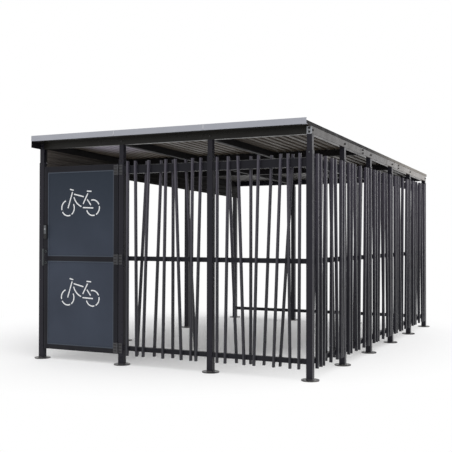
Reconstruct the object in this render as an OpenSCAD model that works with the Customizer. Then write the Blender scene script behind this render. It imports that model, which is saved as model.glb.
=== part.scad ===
// Bike shelter of steel tube: posts on round base plates, fence panels of leaning tubes,
// a hinged door and a ribbed roof deck that falls to the rear. Millimetres, +Z up, front at -Y.
// The origin is on the ground, in the middle of the outline.

/* [Plan] */
// Distance between post axes along the front
bay_w = 1000; // [900:10:1200]
// Distance between post axes along the right wall
bay_d = 955; // [900:5:1200]

/* [Posts] */
// Outside width of the square posts
post_w = 60; // [54:1:70]
// Wall thickness of the posts
post_wall = 4.5; // [3:0.5:6]
// Radius of the posts' outer corners
post_corner_r = 5; // [3:0.5:7]
// Reach of the posts above the door's upper edge
post_head = 46; // [10:1:80]
// Diameter of the round base plates
plate_d = 165; // [155:1:180]
// Thickness of the base plates
plate_t = 10; // [6:1:15]
// Diameter of the circle through the anchor holes
plate_pcd = 125; // [115:1:135]
// Diameter of the anchor holes
plate_hole_d = 14; // [10:1:18]
// Length of each stub inside its post
stub_grip = 150; // [80:5:300]
// Length of the rear stubs between post and beam
stub_show = 27; // [10:1:80]

/* [Roof] */
// Drop of the roof from the front posts to the rear posts
roof_fall = 118; // [80:1:200]
// Width of the roof beams
beam_w = 50; // [40:1:56]
// Height of the roof beams
beam_h = 70; // [50:1:100]
// Wall thickness of the roof beams
beam_wall = 4; // [2:0.5:6]
// Radius of the roof beams' outer corners
beam_corner_r = 4; // [2:0.5:6]
// Reach of the roof in front of the front post axes
front_overhang = 170; // [120:5:260]
// Reach of the roof behind the rear post axes
rear_overhang = 95; // [92:1:200]
// Height of the strips beside the deck
verge_h = 32; // [24:1:50]
// Height of the deck's ribs
rib_h = 20; // [12:1:24]
// Thickness of the deck, verge and header sheet
deck_t = 2; // [1:0.5:3]
// Ribs on each deck sheet
ribs_per_sheet = 12; // [6:1:14]
// Height of the front flashing above the verge strips
flashing_rise = 22; // [10:1:40]
// Thickness of the flashing
flashing_t = 2; // [1:0.5:3]
// Depth of the flashing's leg under the deck
flashing_leg = 35; // [20:1:60]
// Depth of the flashing's folded top edge
flashing_hem = 12; // [6:1:20]
// Open joint between two lengths of flashing
flashing_joint = 3; // [1:0.5:6]
// Thickness of the strip under the front overhang
soffit_t = 2; // [1:0.5:3]
// Depth of that strip's fold on the front beam
soffit_fold = 16; // [10:1:20]
// Reach of that strip under the flashing's leg
soffit_lap = 20; // [10:1:30]

/* [Fence] */
// Width of the fence tubes along their panel
tube_w = 22; // [18:1:26]
// Depth of the fence tubes across their panel
tube_d = 30; // [22:1:34]
// Height of the tubes' lower ends
tube_z = 100; // [60:5:120]
// Drop of the tubes' upper ends below the posts' tops
tube_drop = 25; // [5:1:60]
// Depth of the fence rails
rail_d = 44; // [36:1:48]
// Height of the bottom and middle rails
rail_h = 45; // [35:1:60]
// Length of the tubes below the bottom rail
tube_tail = 46; // [20:1:80]
// Height of the middle rail's underside
middle_rail_z = 1045; // [900:5:1200]
// Height of the top rail
top_rail_h = 80; // [50:1:100]
// Length of the tubes above the top rail
tube_tip = 42; // [10:1:60]
// Depth to which the tubes are let into the rails at their welds
weld_bite = 0.5; // [0.2:0.1:1]

/* [Open bays] */
// Height of the low rails' underside in the rear bays
low_rail_z = 125; // [100:1:180]
// Width and height of the low rails
low_rail_w = 45; // [30:1:55]
// Height of the left header
header_h = 185; // [150:5:240]
// Ribs on the left header
header_ribs = 3; // [2:1:5]
// Depth of the left header's ribs
header_rib_d = 10; // [6:1:12]
// Distance from the front post's axis to the left header's front end
header_inset = 18; // [14:1:28]

/* [Door] */
// Gap between the door and the posts beside it
door_gap = 7; // [6.5:0.5:10]
// Height of the door's lower edge
door_z = 108; // [60:1:150]
// Height of the door
door_h = 1911; // [1800:1:2200]
// Width of the door's frame tubes
frame_w = 50; // [40:1:60]
// Height of the door's upper rail
door_head_w = 60; // [40:1:80]
// Depth of the door's frame tubes
frame_d = 40; // [30:1:50]
// Height of the door's middle rail above its lower edge
door_middle_z = 923; // [850:1:1000]
// Thickness of the door's panels
panel_t = 3; // [2:0.5:6]
// Depth of the panels behind the door's front
panel_setback = 5; // [2:1:15]

/* [Hinges] */
// Height of each hinge
hinge_h = 100; // [80:1:120]
// Width of each hinge leaf
hinge_leaf_w = 42; // [30:1:46]
// Thickness of the hinge leaves
hinge_leaf_t = 4; // [3:0.5:6]
// Outside radius of the hinge knuckles
knuckle_r = 8; // [6.5:0.5:9]
// Radius of the hinge pins
pin_r = 4; // [3:0.5:5]
// Gap between two knuckles on one pin
knuckle_gap = 1; // [0.5:0.1:2]
// Height of the lowest hinge's centre above the door's lower edge
hinge_inset = 60; // [60:1:150]

/* [Lock and handle] */
// Width of the lock case
lock_w = 34; // [26:1:38]
// Height of the lock case
lock_h = 130; // [100:1:160]
// Reach of the lock case in front of the door
lock_reach = 22; // [12:1:40]
// Height of the lock case's lower end above the ground
lock_z = 1270; // [1220:5:1350]
// Height of the pull handle's grip
handle_h = 180; // [140:1:220]
// Height of the grip's lower end above the ground
handle_z = 980; // [900:5:1010]
// Diameter of the grip
grip_d = 20; // [16:1:26]
// Reach of the grip's axis in front of the door
grip_reach = 46; // [40:1:60]
// Diameter of the handle's two stand-off bars
standoff_d = 14; // [10:1:15]

/* [Hidden] */
$fn = 32;

// Colours
anthracite = "#2f3035";
slate = "#3a414b";
pale_grey = "#a3a7ae";
warm_grey = "#625d56";
dark_steel = "#5b5e61";

// Clearances and the overrun of cuts
slide_clear = 0.25;
pin_clear = 0.08;
knuckle_clear = 2;
overrun = 20;

// Bays of the plan and the post axes
bays_wide = 3;
bays_deep = 5;
left_bays = 3;
half_w = bays_wide * bay_w / 2;
run = bays_deep * bay_d;
front_y = front_overhang - (front_overhang + run + rear_overhang) / 2;
rear_y = front_y + run;
post_half = post_w / 2;

// Heights that follow the door
door_top_z = door_z + door_h;
post_h = door_top_z + post_head;
beam_z = post_h + stub_show + roof_fall;
tube_top_z = post_h - tube_drop;
bottom_rail_z = tube_z + tube_tail;
top_rail_z = tube_top_z - tube_tip - top_rail_h;

function front_spot(i) = [i * bay_w - half_w, front_y];
function right_spot(i) = [half_w, front_y + i * bay_d];
function left_spot(i) = [-half_w, front_y + i * run / left_bays];
function rear_spot(i) = [i * bay_w - half_w, rear_y];
post_spots = concat(
  [for (i = [0 : bays_wide]) front_spot(i)],
  [for (i = [1 : bays_deep]) right_spot(i)],
  [for (i = [1 : left_bays]) left_spot(i)],
  [for (i = [1 : bays_wide - 1]) rear_spot(i)]
);
stub_w = post_w - 2 * (post_wall + slide_clear);
stub_corner_r = post_corner_r / 2;
plate_holes = 4;

// Roof frame: its own axes are x, s along the fall to the rear, and n square to the deck
fall_angle = atan2(roof_fall, run);
slope_run = run / cos(fall_angle);
verge_top_n = beam_h + verge_h;
flashing_n = beam_h - flashing_t;
flashing_h = flashing_t + verge_h + flashing_rise;
flashing_s = -(front_overhang + flashing_n * sin(fall_angle)) / cos(fall_angle);
deck_s = flashing_s + flashing_t;
deck_end_s = (run + rear_overhang - verge_top_n * sin(fall_angle)) / cos(fall_angle);
roof_half_w = half_w + beam_w / 2;
sheet_w = 2 * (roof_half_w - deck_t) / bays_wide;
// Places of a rib's four folds across its pitch, and their rise
rib_fold_shares = [0.25, 0.36, 0.64, 0.75];
rib_rise_shares = [0, 1, 1, 0];
// Places of the purlins, over the left posts
purlin_shares = [for (i = [1 : left_bays - 1]) i / left_bays];

// Fence: tubes on the outer face and the inner face of the rails, by turns
tube_layers = ["out", "out", "in", "out", "in", "out", "in", "out", "in", "out", "out"];
// Tube axes along the bay in the first panel pattern, at the upper and the lower ends
steep_top_shares = [0.085, 0.175, 0.265, 0.33, 0.43, 0.525, 0.565, 0.63, 0.705, 0.82, 0.91];
steep_foot_shares = [0.085, 0.195, 0.155, 0.27, 0.355, 0.495, 0.565, 0.70, 0.82, 0.805, 0.86];
// Tube axes along the bay in the second panel pattern
fan_top_shares = [0.085, 0.20, 0.17, 0.30, 0.40, 0.51, 0.61, 0.73, 0.82, 0.80, 0.915];
fan_foot_shares = [0.085, 0.17, 0.255, 0.365, 0.40, 0.465, 0.535, 0.66, 0.695, 0.82, 0.905];

// Door and its hinge axis
door_left_x = front_spot(0).x + post_half + door_gap;
door_right_x = front_spot(1).x - post_half - door_gap;
door_w = door_right_x - door_left_x;
door_front_y = front_y - post_half;
hinge_x = door_right_x + door_gap / 2;
hinge_y = door_front_y - knuckle_r - knuckle_clear;
hinge_zs = [
  door_z + hinge_inset,
  door_z + door_middle_z + frame_w / 2,
  door_top_z - hinge_inset
];
knuckles = 3;
knuckle_h = (hinge_h - (knuckles - 1) * knuckle_gap) / knuckles;
leaf_set_back = knuckle_r + knuckle_clear;
handle_x = door_left_x + frame_w / 2;
standoff_inset = handle_h / 6;
lock_fillet_r = lock_w / 6;

// A rectangle about its centre with round corners
module rounded_rect(w, d, r) {
  square([w - 2 * r, d], center = true);
  square([w, d - 2 * r], center = true);
  for (sx = [-1, 1], sy = [-1, 1])
    translate([sx * (w / 2 - r), sy * (d / 2 - r)])
      circle(r);
}

// A box that stands on the origin, centred in plan
module standing_box(w, d, h) {
  translate([-w / 2, -d / 2, 0])
    cube([w, d, h]);
}

// Places children in the roof's own axes
module on_roof() {
  translate([0, front_y, beam_z])
    rotate([-fall_angle, 0, 0])
      children();
}

// Section of a roof beam, standing on the origin
module beam_section() {
  translate([0, beam_h / 2])
    difference() {
      rounded_rect(beam_w, beam_h, beam_corner_r);
      square([beam_w - 2 * beam_wall, beam_h - 2 * beam_wall], center = true);
    }
}

// A hollow beam along x, from x0 to x1, centred on s
module cross_tube(x0, x1, s) {
  translate([x0, s, 0])
    rotate([90, 0, 90])
      linear_extrude(x1 - x0)
        beam_section();
}

// A hollow beam along s, from s0 to s1, centred on x
module slope_tube(x, s0, s1) {
  translate([x, s1, 0])
    rotate([90, 0, 0])
      linear_extrude(s1 - s0)
        beam_section();
}

// Post with its welded base plate
module post(spot) {
  color(anthracite)
    translate([spot.x, spot.y, 0])
      difference() {
        union() {
          cylinder(d = plate_d, h = plate_t);
          linear_extrude(post_h)
            rounded_rect(post_w, post_w, post_corner_r);
        }
        translate([0, 0, plate_t])
          standing_box(post_w - 2 * post_wall, post_w - 2 * post_wall, post_h);
        for (i = [0 : plate_holes - 1])
          rotate(i * 360 / plate_holes)
            translate([plate_pcd / 2, 0, -overrun])
              cylinder(d = plate_hole_d, h = plate_t + 2 * overrun);
      }
}

// Stubs that slide in the posts and carry the roof beams, cut to the fall
module post_stubs() {
  color(anthracite)
    difference() {
      for (spot = post_spots)
        translate([spot.x, spot.y, post_h - stub_grip])
          linear_extrude(stub_grip + beam_z - post_h + overrun)
            rounded_rect(stub_w, stub_w, stub_corner_r);
      on_roof()
        translate([-half_w - post_w, -post_w, 0])
          cube([2 * (half_w + post_w), slope_run + 2 * post_w, beam_h + roof_fall + overrun]);
    }
}

// Beam across the front posts
module front_beam() {
  color(anthracite)
    on_roof()
      cross_tube(beam_w / 2 - half_w, half_w - beam_w / 2, 0);
}

// Beam across the rear posts
module rear_beam() {
  color(anthracite)
    on_roof()
      cross_tube(beam_w / 2 - half_w, half_w - beam_w / 2, slope_run);
}

// Outer rafter over a side wall's posts
module outer_rafter(side) {
  color(anthracite)
    on_roof()
      slope_tube(side * half_w, -beam_w / 2, slope_run + beam_w / 2);
}

// Inner rafter between the front and rear beams
module inner_rafter(x) {
  color(anthracite)
    on_roof()
      slope_tube(x, beam_w / 2, slope_run - beam_w / 2);
}

// Purlins between the rafters, square to them
module purlins() {
  color(anthracite)
    on_roof()
      for (share = purlin_shares, i = [0 : bays_wide - 1])
        cross_tube(front_spot(i).x + beam_w / 2, front_spot(i + 1).x - beam_w / 2, share * slope_run);
}

// Section of a ribbed sheet along x from the origin, with its ribs upwards
module ribbed_section(w, ribs, h) {
  pitch = w / ribs;
  folds = [for (rib = [0 : ribs - 1], share = rib_fold_shares) (rib + share) * pitch];
  rises = [for (rib = [0 : ribs - 1], share = rib_rise_shares) share * (h - deck_t)];
  lower = concat([[0, 0]], [for (k = [0 : len(folds) - 1]) [folds[k], rises[k]]], [[w, 0]]);
  upper = [for (k = [len(lower) - 1 : -1 : 0]) lower[k] + [0, deck_t]];
  polygon(concat(lower, upper));
}

// Ribbed deck sheet, counted from the left
module deck_sheet(i) {
  color(warm_grey)
    on_roof()
      translate([i * sheet_w - roof_half_w + deck_t, deck_end_s, beam_h])
        rotate([90, 0, 0])
          linear_extrude(deck_end_s - deck_s)
            ribbed_section(sheet_w, ribs_per_sheet, rib_h);
}

// Strips that close the deck's two sides
module verge_strips() {
  color(anthracite)
    on_roof()
      for (x = [-roof_half_w, roof_half_w - deck_t])
        translate([x, deck_s, beam_h])
          cube([deck_t, deck_end_s - deck_s, verge_h]);
}

// Folded flashing along the deck's front edge, in one length per bay
module front_flashing() {
  joint_xs = [for (i = [1 : bays_wide - 1]) front_spot(i).x];
  starts = concat([-roof_half_w], [for (x = joint_xs) x + flashing_joint / 2]);
  stops = concat([for (x = joint_xs) x - flashing_joint / 2], [roof_half_w]);
  color(pale_grey)
    on_roof()
      for (i = [0 : bays_wide - 1])
        translate([starts[i], flashing_s, flashing_n])
          rotate([90, 0, 90])
            linear_extrude(stops[i] - starts[i])
              polygon([
                [0, 0],
                [flashing_leg, 0],
                [flashing_leg, flashing_t],
                [flashing_t, flashing_t],
                [flashing_t, flashing_h - flashing_t],
                [flashing_hem, flashing_h - flashing_t],
                [flashing_hem, flashing_h],
                [0, flashing_h]
              ]);
}

// Strip under the deck's front overhang, from the flashing's leg to a fold on the front beam
module front_soffit() {
  front_s = flashing_s + flashing_leg - soffit_lap;
  rear_s = -beam_w / 2;
  low_n = flashing_n - soffit_t;
  color(anthracite)
    on_roof()
      translate([beam_w / 2 - half_w, 0, 0])
        rotate([90, 0, 90])
          linear_extrude(2 * half_w - beam_w)
            polygon([
              [front_s, flashing_n],
              [front_s, low_n],
              [rear_s - soffit_t, low_n],
              [rear_s - soffit_t, low_n - soffit_fold],
              [rear_s, low_n - soffit_fold],
              [rear_s, flashing_n]
            ]);
}

// Rail of a fence, between the faces of two posts that stand a bay apart
module fence_rail(bay, z, h) {
  translate([post_half, -rail_d / 2, z])
    cube([bay - post_w, rail_d, h]);
}

// Tube that leans in its layer, with level ends
module leaning_tube(foot_x, top_x, layer) {
  face_y = rail_d / 2 - weld_bite;
  translate([0, layer == "out" ? -face_y : face_y + tube_d, 0])
    rotate([90, 0, 0])
      linear_extrude(tube_d)
        polygon([
          [foot_x - tube_w / 2, tube_z],
          [foot_x + tube_w / 2, tube_z],
          [top_x + tube_w / 2, tube_top_z],
          [top_x - tube_w / 2, tube_top_z]
        ]);
}

// Fence panel along x from a post axis, with its outer face to -y
module fence_panel(bay, top_shares, foot_shares) {
  color(anthracite) {
    fence_rail(bay, bottom_rail_z, rail_h);
    fence_rail(bay, middle_rail_z, rail_h);
    fence_rail(bay, top_rail_z, top_rail_h);
    for (i = [0 : len(tube_layers) - 1])
      leaning_tube(foot_shares[i] * bay, top_shares[i] * bay, tube_layers[i]);
  }
}

// Panel of the front wall, beside front post i
module front_fence(i, top_shares, foot_shares) {
  spot = front_spot(i);
  translate([spot.x, spot.y, 0])
    fence_panel(bay_w, top_shares, foot_shares);
}

// Panel of the right wall, behind its post i
module right_fence(i, top_shares, foot_shares) {
  spot = right_spot(i);
  translate([spot.x, spot.y, 0])
    rotate(90)
      fence_panel(bay_d, top_shares, foot_shares);
}

// Low rails between the rear posts
module rear_low_rails() {
  color(anthracite)
    for (i = [0 : bays_wide - 1])
      translate([rear_spot(i).x + post_half, rear_y - low_rail_w / 2, low_rail_z])
        cube([bay_w - post_w, low_rail_w, low_rail_w]);
}

// Ribbed header sheet on the left posts' inner faces, close under the roof and parallel to it
module left_header() {
  stop_s = slope_run + post_half;
  color(warm_grey)
    on_roof()
      translate([post_half - half_w, stop_s, 0])
        rotate([90, 0, 0])
          linear_extrude(stop_s - header_inset)
            rotate(-90)
              ribbed_section(header_h, header_ribs, header_rib_d);
}

// Door frame with a middle rail
module door_frame() {
  opening_w = door_w - 2 * frame_w;
  lower_h = door_middle_z - frame_w;
  upper_z = door_middle_z + frame_w;
  upper_h = door_h - door_head_w - upper_z;
  color(anthracite)
    translate([door_left_x, door_front_y, door_z])
      difference() {
        cube([door_w, frame_d, door_h]);
        translate([frame_w, -overrun, frame_w])
          cube([opening_w, frame_d + 2 * overrun, lower_h]);
        translate([frame_w, -overrun, upper_z])
          cube([opening_w, frame_d + 2 * overrun, upper_h]);
      }
}

// Sheet panel of the door, between two heights above the door's lower edge
module door_panel(z0, z1) {
  color(slate)
    translate([door_left_x + frame_w, door_front_y + panel_setback, door_z + z0])
      cube([door_w - 2 * frame_w, panel_t, z1 - z0]);
}

// Lower end of a hinge's knuckle, counted from below
function knuckle_z(k) = k * (knuckle_h + knuckle_gap) - hinge_h / 2;

// Hinge leaf on one side of the axis: a plate on the face behind, and the arms to its knuckles
module hinge_leaf(side, own_knuckles) {
  plate_x = knuckle_r + knuckle_clear;
  leaf_y = leaf_set_back - hinge_leaf_t;
  translate([side > 0 ? plate_x : -plate_x - hinge_leaf_w, leaf_y, -hinge_h / 2])
    cube([hinge_leaf_w, hinge_leaf_t, hinge_h]);
  for (k = own_knuckles)
    translate([0, 0, knuckle_z(k)]) {
      cylinder(r = knuckle_r, h = knuckle_h);
      translate([side > 0 ? 0 : -plate_x - hinge_leaf_t, leaf_y - hinge_leaf_t + knuckle_clear, 0])
        cube([plate_x + hinge_leaf_t, hinge_leaf_t, knuckle_h]);
    }
}

// Door halves of the three hinges, bored for the pins
module hinge_door_leaves() {
  color(anthracite)
    for (z = hinge_zs)
      translate([hinge_x, hinge_y, z])
        difference() {
          hinge_leaf(-1, [1]);
          translate([0, 0, -hinge_h])
            cylinder(r = pin_r + pin_clear, h = 2 * hinge_h);
        }
}

// Post halves of the three hinges, with the pins
module hinge_post_leaves() {
  color(anthracite)
    for (z = hinge_zs)
      translate([hinge_x, hinge_y, z]) {
        hinge_leaf(1, [0, 2]);
        translate([0, 0, -hinge_h / 2])
          cylinder(r = pin_r, h = hinge_h);
      }
}

// Lock case on the door's left stile
module lock_case() {
  color(dark_steel)
    translate([handle_x, door_front_y, lock_z + lock_h / 2])
      rotate([90, 0, 0])
        linear_extrude(lock_reach)
          rounded_rect(lock_w, lock_h, lock_fillet_r);
}

// Pull handle: an upright grip on two stand-off bars
module pull_handle() {
  color(dark_steel)
    translate([handle_x, door_front_y, handle_z]) {
      translate([0, -grip_reach, 0])
        cylinder(d = grip_d, h = handle_h);
      for (z = [standoff_inset, handle_h - standoff_inset])
        translate([0, 0, z])
          rotate([90, 0, 0])
            cylinder(d = standoff_d, h = grip_reach);
    }
}

post(front_spot(0));  // post_front_1
post(front_spot(1));  // post_front_2
post(front_spot(2));  // post_front_3
post(front_spot(3));  // post_front_4
post(right_spot(1));  // post_right_1
post(right_spot(2));  // post_right_2
post(right_spot(3));  // post_right_3
post(right_spot(4));  // post_right_4
post(right_spot(5));  // post_right_5
post(left_spot(1));  // post_left_1
post(left_spot(2));  // post_left_2
post(left_spot(3));  // post_left_3
post(rear_spot(1));  // post_rear_1
post(rear_spot(2));  // post_rear_2
post_stubs();
front_beam();
rear_beam();
purlins();
outer_rafter(-1);  // rafter_left
inner_rafter(front_spot(1).x);  // rafter_inner_left
inner_rafter(front_spot(2).x);  // rafter_inner_right
outer_rafter(1);  // rafter_right
deck_sheet(0);  // deck_left
deck_sheet(1);  // deck_middle
deck_sheet(2);  // deck_right
verge_strips();
front_flashing();
front_soffit();
front_fence(1, steep_top_shares, steep_foot_shares);  // fence_front_1
front_fence(2, fan_top_shares, fan_foot_shares);  // fence_front_2
right_fence(0, steep_top_shares, steep_foot_shares);  // fence_right_1
right_fence(1, fan_top_shares, fan_foot_shares);  // fence_right_2
right_fence(2, steep_top_shares, steep_foot_shares);  // fence_right_3
right_fence(3, fan_top_shares, fan_foot_shares);  // fence_right_4
right_fence(4, steep_top_shares, steep_foot_shares);  // fence_right_5
rear_low_rails();
left_header();
door_frame();
door_panel(door_middle_z + frame_w, door_h - door_head_w);  // door_panel_upper
door_panel(frame_w, door_middle_z);  // door_panel_lower
hinge_door_leaves();
hinge_post_leaves();
lock_case();
pull_handle();
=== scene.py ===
"""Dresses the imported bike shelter: coats, fences, door, signs, fixings, floor, light and camera."""

import logging
import math
from collections.abc import Callable, Iterable, Iterator, Sequence
from contextlib import contextmanager
from dataclasses import dataclass
from enum import Enum

import bmesh
import bpy
from mathutils import Matrix


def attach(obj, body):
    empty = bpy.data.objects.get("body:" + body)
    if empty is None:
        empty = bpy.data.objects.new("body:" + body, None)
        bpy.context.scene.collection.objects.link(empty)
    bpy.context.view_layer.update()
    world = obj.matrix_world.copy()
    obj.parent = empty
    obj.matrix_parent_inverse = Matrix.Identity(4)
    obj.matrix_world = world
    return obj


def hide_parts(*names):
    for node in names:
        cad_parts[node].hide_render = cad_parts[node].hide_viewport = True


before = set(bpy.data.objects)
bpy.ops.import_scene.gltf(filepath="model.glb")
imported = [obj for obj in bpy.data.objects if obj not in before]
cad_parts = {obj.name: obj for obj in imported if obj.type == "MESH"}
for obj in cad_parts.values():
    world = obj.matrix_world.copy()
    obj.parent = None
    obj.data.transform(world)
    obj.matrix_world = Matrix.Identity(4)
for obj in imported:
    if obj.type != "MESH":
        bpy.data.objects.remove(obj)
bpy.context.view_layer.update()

log = logging.getLogger("bike_shelter")

Colour = tuple[float, float, float]
Point = Sequence[float]
Piece = bpy.types.Object
Material = bpy.types.Material
Socket = bpy.types.NodeSocket
Places = Iterable[Matrix]
Span = tuple[float, float]
Shares = Sequence[Span]
Test = Callable[[object], bool]

MM = 0.001
SMOOTH_ANGLE = math.radians(35)
# Least cosine at which a direction counts as along an axis
ALIGNED = 0.9
# Range that most of a noise pattern keeps to
NOISE_SPAN = (0.3, 0.7)
# Turn of an upright shape to the front
FORWARD = Matrix.Rotation(math.pi / 2, 4, "X")


class Body(Enum):
    """The two bodies that a piece can ride on."""

    FRAME = "frame"
    DOOR = "door"


class Slot(Enum):
    """The record's material slots."""

    FRAME = "frame_paint"
    FENCE = "fence_paint"
    PANEL = "panel_paint"
    FLASHING = "flashing_paint"
    DECK = "deck_sheet"
    HINGE = "hinge_paint"
    LOCK = "lock_steel"


class Axis(Enum):
    """The three axes of the frame."""

    X = 0
    Y = 1
    Z = 2


class Wall(Enum):
    """A fenced wall, by the turn of its panels about the vertical."""

    FRONT = 0
    RIGHT = 90


class Pattern(Enum):
    """Tube places in a fence panel, as shares of the bay: at the upper ends, then at the lower ends."""

    STEEP = (
        (0.085, 0.175, 0.265, 0.33, 0.43, 0.525, 0.565, 0.63, 0.705, 0.82, 0.91),
        (0.085, 0.195, 0.155, 0.27, 0.355, 0.495, 0.565, 0.70, 0.82, 0.805, 0.86),
    )
    FAN = (
        (0.085, 0.20, 0.17, 0.30, 0.40, 0.51, 0.61, 0.73, 0.82, 0.80, 0.915),
        (0.085, 0.17, 0.255, 0.365, 0.40, 0.465, 0.535, 0.66, 0.695, 0.82, 0.905),
    )


class Layer(Enum):
    """The face of the rails that a tube is welded to, as the sign of its offset."""

    OUT = -1
    IN = 1


def srgb(red: int, green: int, blue: int) -> Colour:
    """Gives a colour in linear light.

    Args:
        red: Red as a screen shows it, from 0 to 255.
        green: Green in the same way.
        blue: Blue in the same way.

    Returns:
        The three linear values, from 0 to 1.
    """
    return tuple(((c / 255 + 0.055) / 1.055) ** 2.4 if c > 10 else c / 3294.6 for c in (red, green, blue))


def shade(colour: Colour, share: float) -> Colour:
    """Darkens a colour below a share of 1, or lightens it above.

    Args:
        colour: The linear colour.
        share: The factor on each of its values.

    Returns:
        The new linear colour.
    """
    return tuple(min(1.0, c * share) for c in colour)


class Shader:
    """A material in the making, with short ways to add and join its nodes."""

    def __init__(self, name: str) -> None:
        """Starts a material with one surface node.

        Args:
            name: The material's name.
        """
        self.material = bpy.data.materials.new(name)
        self.material.use_nodes = True
        self.tree = self.material.node_tree
        self.surface = self.tree.nodes["Principled BSDF"]
        coordinates = self.add("ShaderNodeTexCoord").outputs
        self.place, self.normal = coordinates["Object"], coordinates["Normal"]

    def add(self, kind: str, **settings: object) -> bpy.types.Node:
        """Adds a node.

        Args:
            kind: The node's type.
            **settings: Properties to set on it.

        Returns:
            The node.
        """
        node = self.tree.nodes.new(kind)
        for name, value in settings.items():
            setattr(node, name, value)
        return node

    def join(self, source: Socket, target: Socket) -> None:
        """Links an output to an input."""
        self.tree.links.new(source, target)

    def set(self, **values: object) -> None:
        """Sets constants on the surface, each on its own socket."""
        for name, value in values.items():
            self.surface.inputs[name.replace("_", " ")].default_value = value

    def stretched(self, scale: Point, shift: Point = (0, 0, 0)) -> Socket:
        """Stretches the object's own coordinates, and then shifts them.

        Args:
            scale: The factor along each axis.
            shift: The shift along each axis.

        Returns:
            The new coordinates.
        """
        mapping = self.add("ShaderNodeMapping")
        mapping.inputs["Scale"].default_value = scale
        mapping.inputs["Location"].default_value = shift
        self.join(self.place, mapping.inputs["Vector"])
        return mapping.outputs["Vector"]

    def noise(self, scale: float, detail: float = 2.0, place: Socket | None = None) -> Socket:
        """Adds a noise pattern.

        Args:
            scale: Waves per metre.
            detail: Layers of finer noise.
            place: Coordinates, the object's own where none are given.

        Returns:
            The noise, from 0 to 1.
        """
        node = self.add("ShaderNodeTexNoise")
        node.inputs["Scale"].default_value = scale
        node.inputs["Detail"].default_value = detail
        self.join(place or self.place, node.inputs["Vector"])
        return node.outputs["Fac"]

    def span(self, value: Socket, source: Span, target: Span = (0, 1)) -> Socket:
        """Maps one range of a value to another, and holds it there.

        Args:
            value: The value.
            source: The range it has.
            target: The range it gets.

        Returns:
            The mapped value.
        """
        node = self.add("ShaderNodeMapRange")
        for name, number in zip(("From Min", "From Max", "To Min", "To Max"), source + target):
            node.inputs[name].default_value = number
        self.join(value, node.inputs["Value"])
        return node.outputs["Result"]

    def product(self, first: Socket, second: Socket) -> Socket:
        """Multiplies two values.

        Args:
            first: One value.
            second: The other.

        Returns:
            The product.
        """
        node = self.add("ShaderNodeMath", operation="MULTIPLY")
        self.join(first, node.inputs[0])
        self.join(second, node.inputs[1])
        return node.outputs[0]

    def along(self, axis: Axis, vector: Socket | None = None) -> Socket:
        """Gives one part of a vector.

        Args:
            axis: The part.
            vector: The vector, the place in metres where none is given.

        Returns:
            The part's value.
        """
        node = self.add("ShaderNodeSeparateXYZ")
        self.join(vector or self.place, node.inputs[0])
        return node.outputs[axis.name]

    def blend(self, factor: Socket, first: Colour | Socket, second: Colour | Socket) -> Socket:
        """Mixes two colours.

        Args:
            factor: 0 for the first, 1 for the second.
            first: A linear colour, or a colour from another node.
            second: The other.

        Returns:
            The mixed colour.
        """
        node = self.add("ShaderNodeMix", data_type="RGBA")
        self.join(factor, node.inputs[0])
        for colour, socket in ((first, node.inputs[6]), (second, node.inputs[7])):
            if isinstance(colour, tuple):
                socket.default_value = (*colour, 1)
            else:
                self.join(colour, socket)
        return node.outputs[2]

    def paint(self, colour: Socket) -> None:
        """Gives the surface its colour."""
        self.join(colour, self.surface.inputs["Base Color"])

    def roughen(self, pattern: Socket, middle: float, drift: Span, source: Span = NOISE_SPAN) -> None:
        """Makes the roughness follow a pattern.

        Args:
            pattern: The pattern.
            middle: The roughness that it varies about.
            drift: The lowest and the highest change.
            source: The range that the pattern has.
        """
        rough = (middle + drift[0], middle + drift[1])
        self.join(self.span(pattern, source, rough), self.surface.inputs["Roughness"])

    def bump(self, height: Socket, strength: float, distance: float) -> None:
        """Gives the surface a fine relief.

        Args:
            height: The pattern that lifts it.
            strength: The relief's strength, from 0 to 1.
            distance: The lift in metres.
        """
        node = self.add("ShaderNodeBump")
        node.inputs["Strength"].default_value = strength
        node.inputs["Distance"].default_value = distance
        self.join(height, node.inputs["Height"])
        self.join(node.outputs["Normal"], self.surface.inputs["Normal"])


@dataclass(frozen=True)
class PowderCoat:
    """Powder coat: close shades, a pebbled surface, dust low down (on the frame partly a painted highlight)
    and a painted fade of light and shade along one axis.
    """

    name: str
    colour: Colour
    roughness: float = 0.42
    rough_drift: Span = (-0.07, 0.09)
    gloss: float = 0.32
    drift: float = 0.14
    dust_and_highlight: float = 0.22
    dust_and_highlight_top: float = 0.30
    dust_and_highlight_colour: Colour = (0.24, 0.23, 0.21)
    # Colour that the coat fades to along fade_axis: painted light where it is paler, painted shade where it
    # is darker.
    painted_light_colour: Colour | None = None
    fade_axis: Axis = Axis.Z
    fade_span: Span = (0.8, 1.9)
    clouds: float = 2.4
    blotches: float = 9
    patches: float = 14
    patch_span: Span = (0.35, 0.75)
    pebbles: float = 480
    relief: Span = (0.03, 0.12 * MM)

    def material(self) -> Material:
        """Makes the material.

        Returns:
            The material.
        """
        shader = Shader(self.name)
        clouds = shader.span(shader.noise(self.clouds, detail=5), NOISE_SPAN)
        paint = shader.blend(clouds, shade(self.colour, 1 - self.drift), shade(self.colour, 1 + self.drift))
        # Painted light and shade: the coat fades along one axis towards that colour.
        if self.painted_light_colour:
            fade = shader.span(shader.along(self.fade_axis), self.fade_span)
            paint = shader.blend(fade, paint, self.painted_light_colour)
        # Dust low down; on the frame coat it is strong enough to pale the base plates as a painted highlight.
        low = shader.span(shader.along(Axis.Z), (0.0, self.dust_and_highlight_top), (self.dust_and_highlight, 0.0))
        patches = shader.span(shader.noise(self.patches, detail=6), self.patch_span)
        shader.paint(shader.blend(shader.product(low, patches), paint, self.dust_and_highlight_colour))
        shader.roughen(shader.noise(self.blotches, detail=6), self.roughness, self.rough_drift)
        shader.bump(shader.noise(self.pebbles), *self.relief)
        shader.set(Specular_IOR_Level=self.gloss)
        return shader.material


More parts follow.
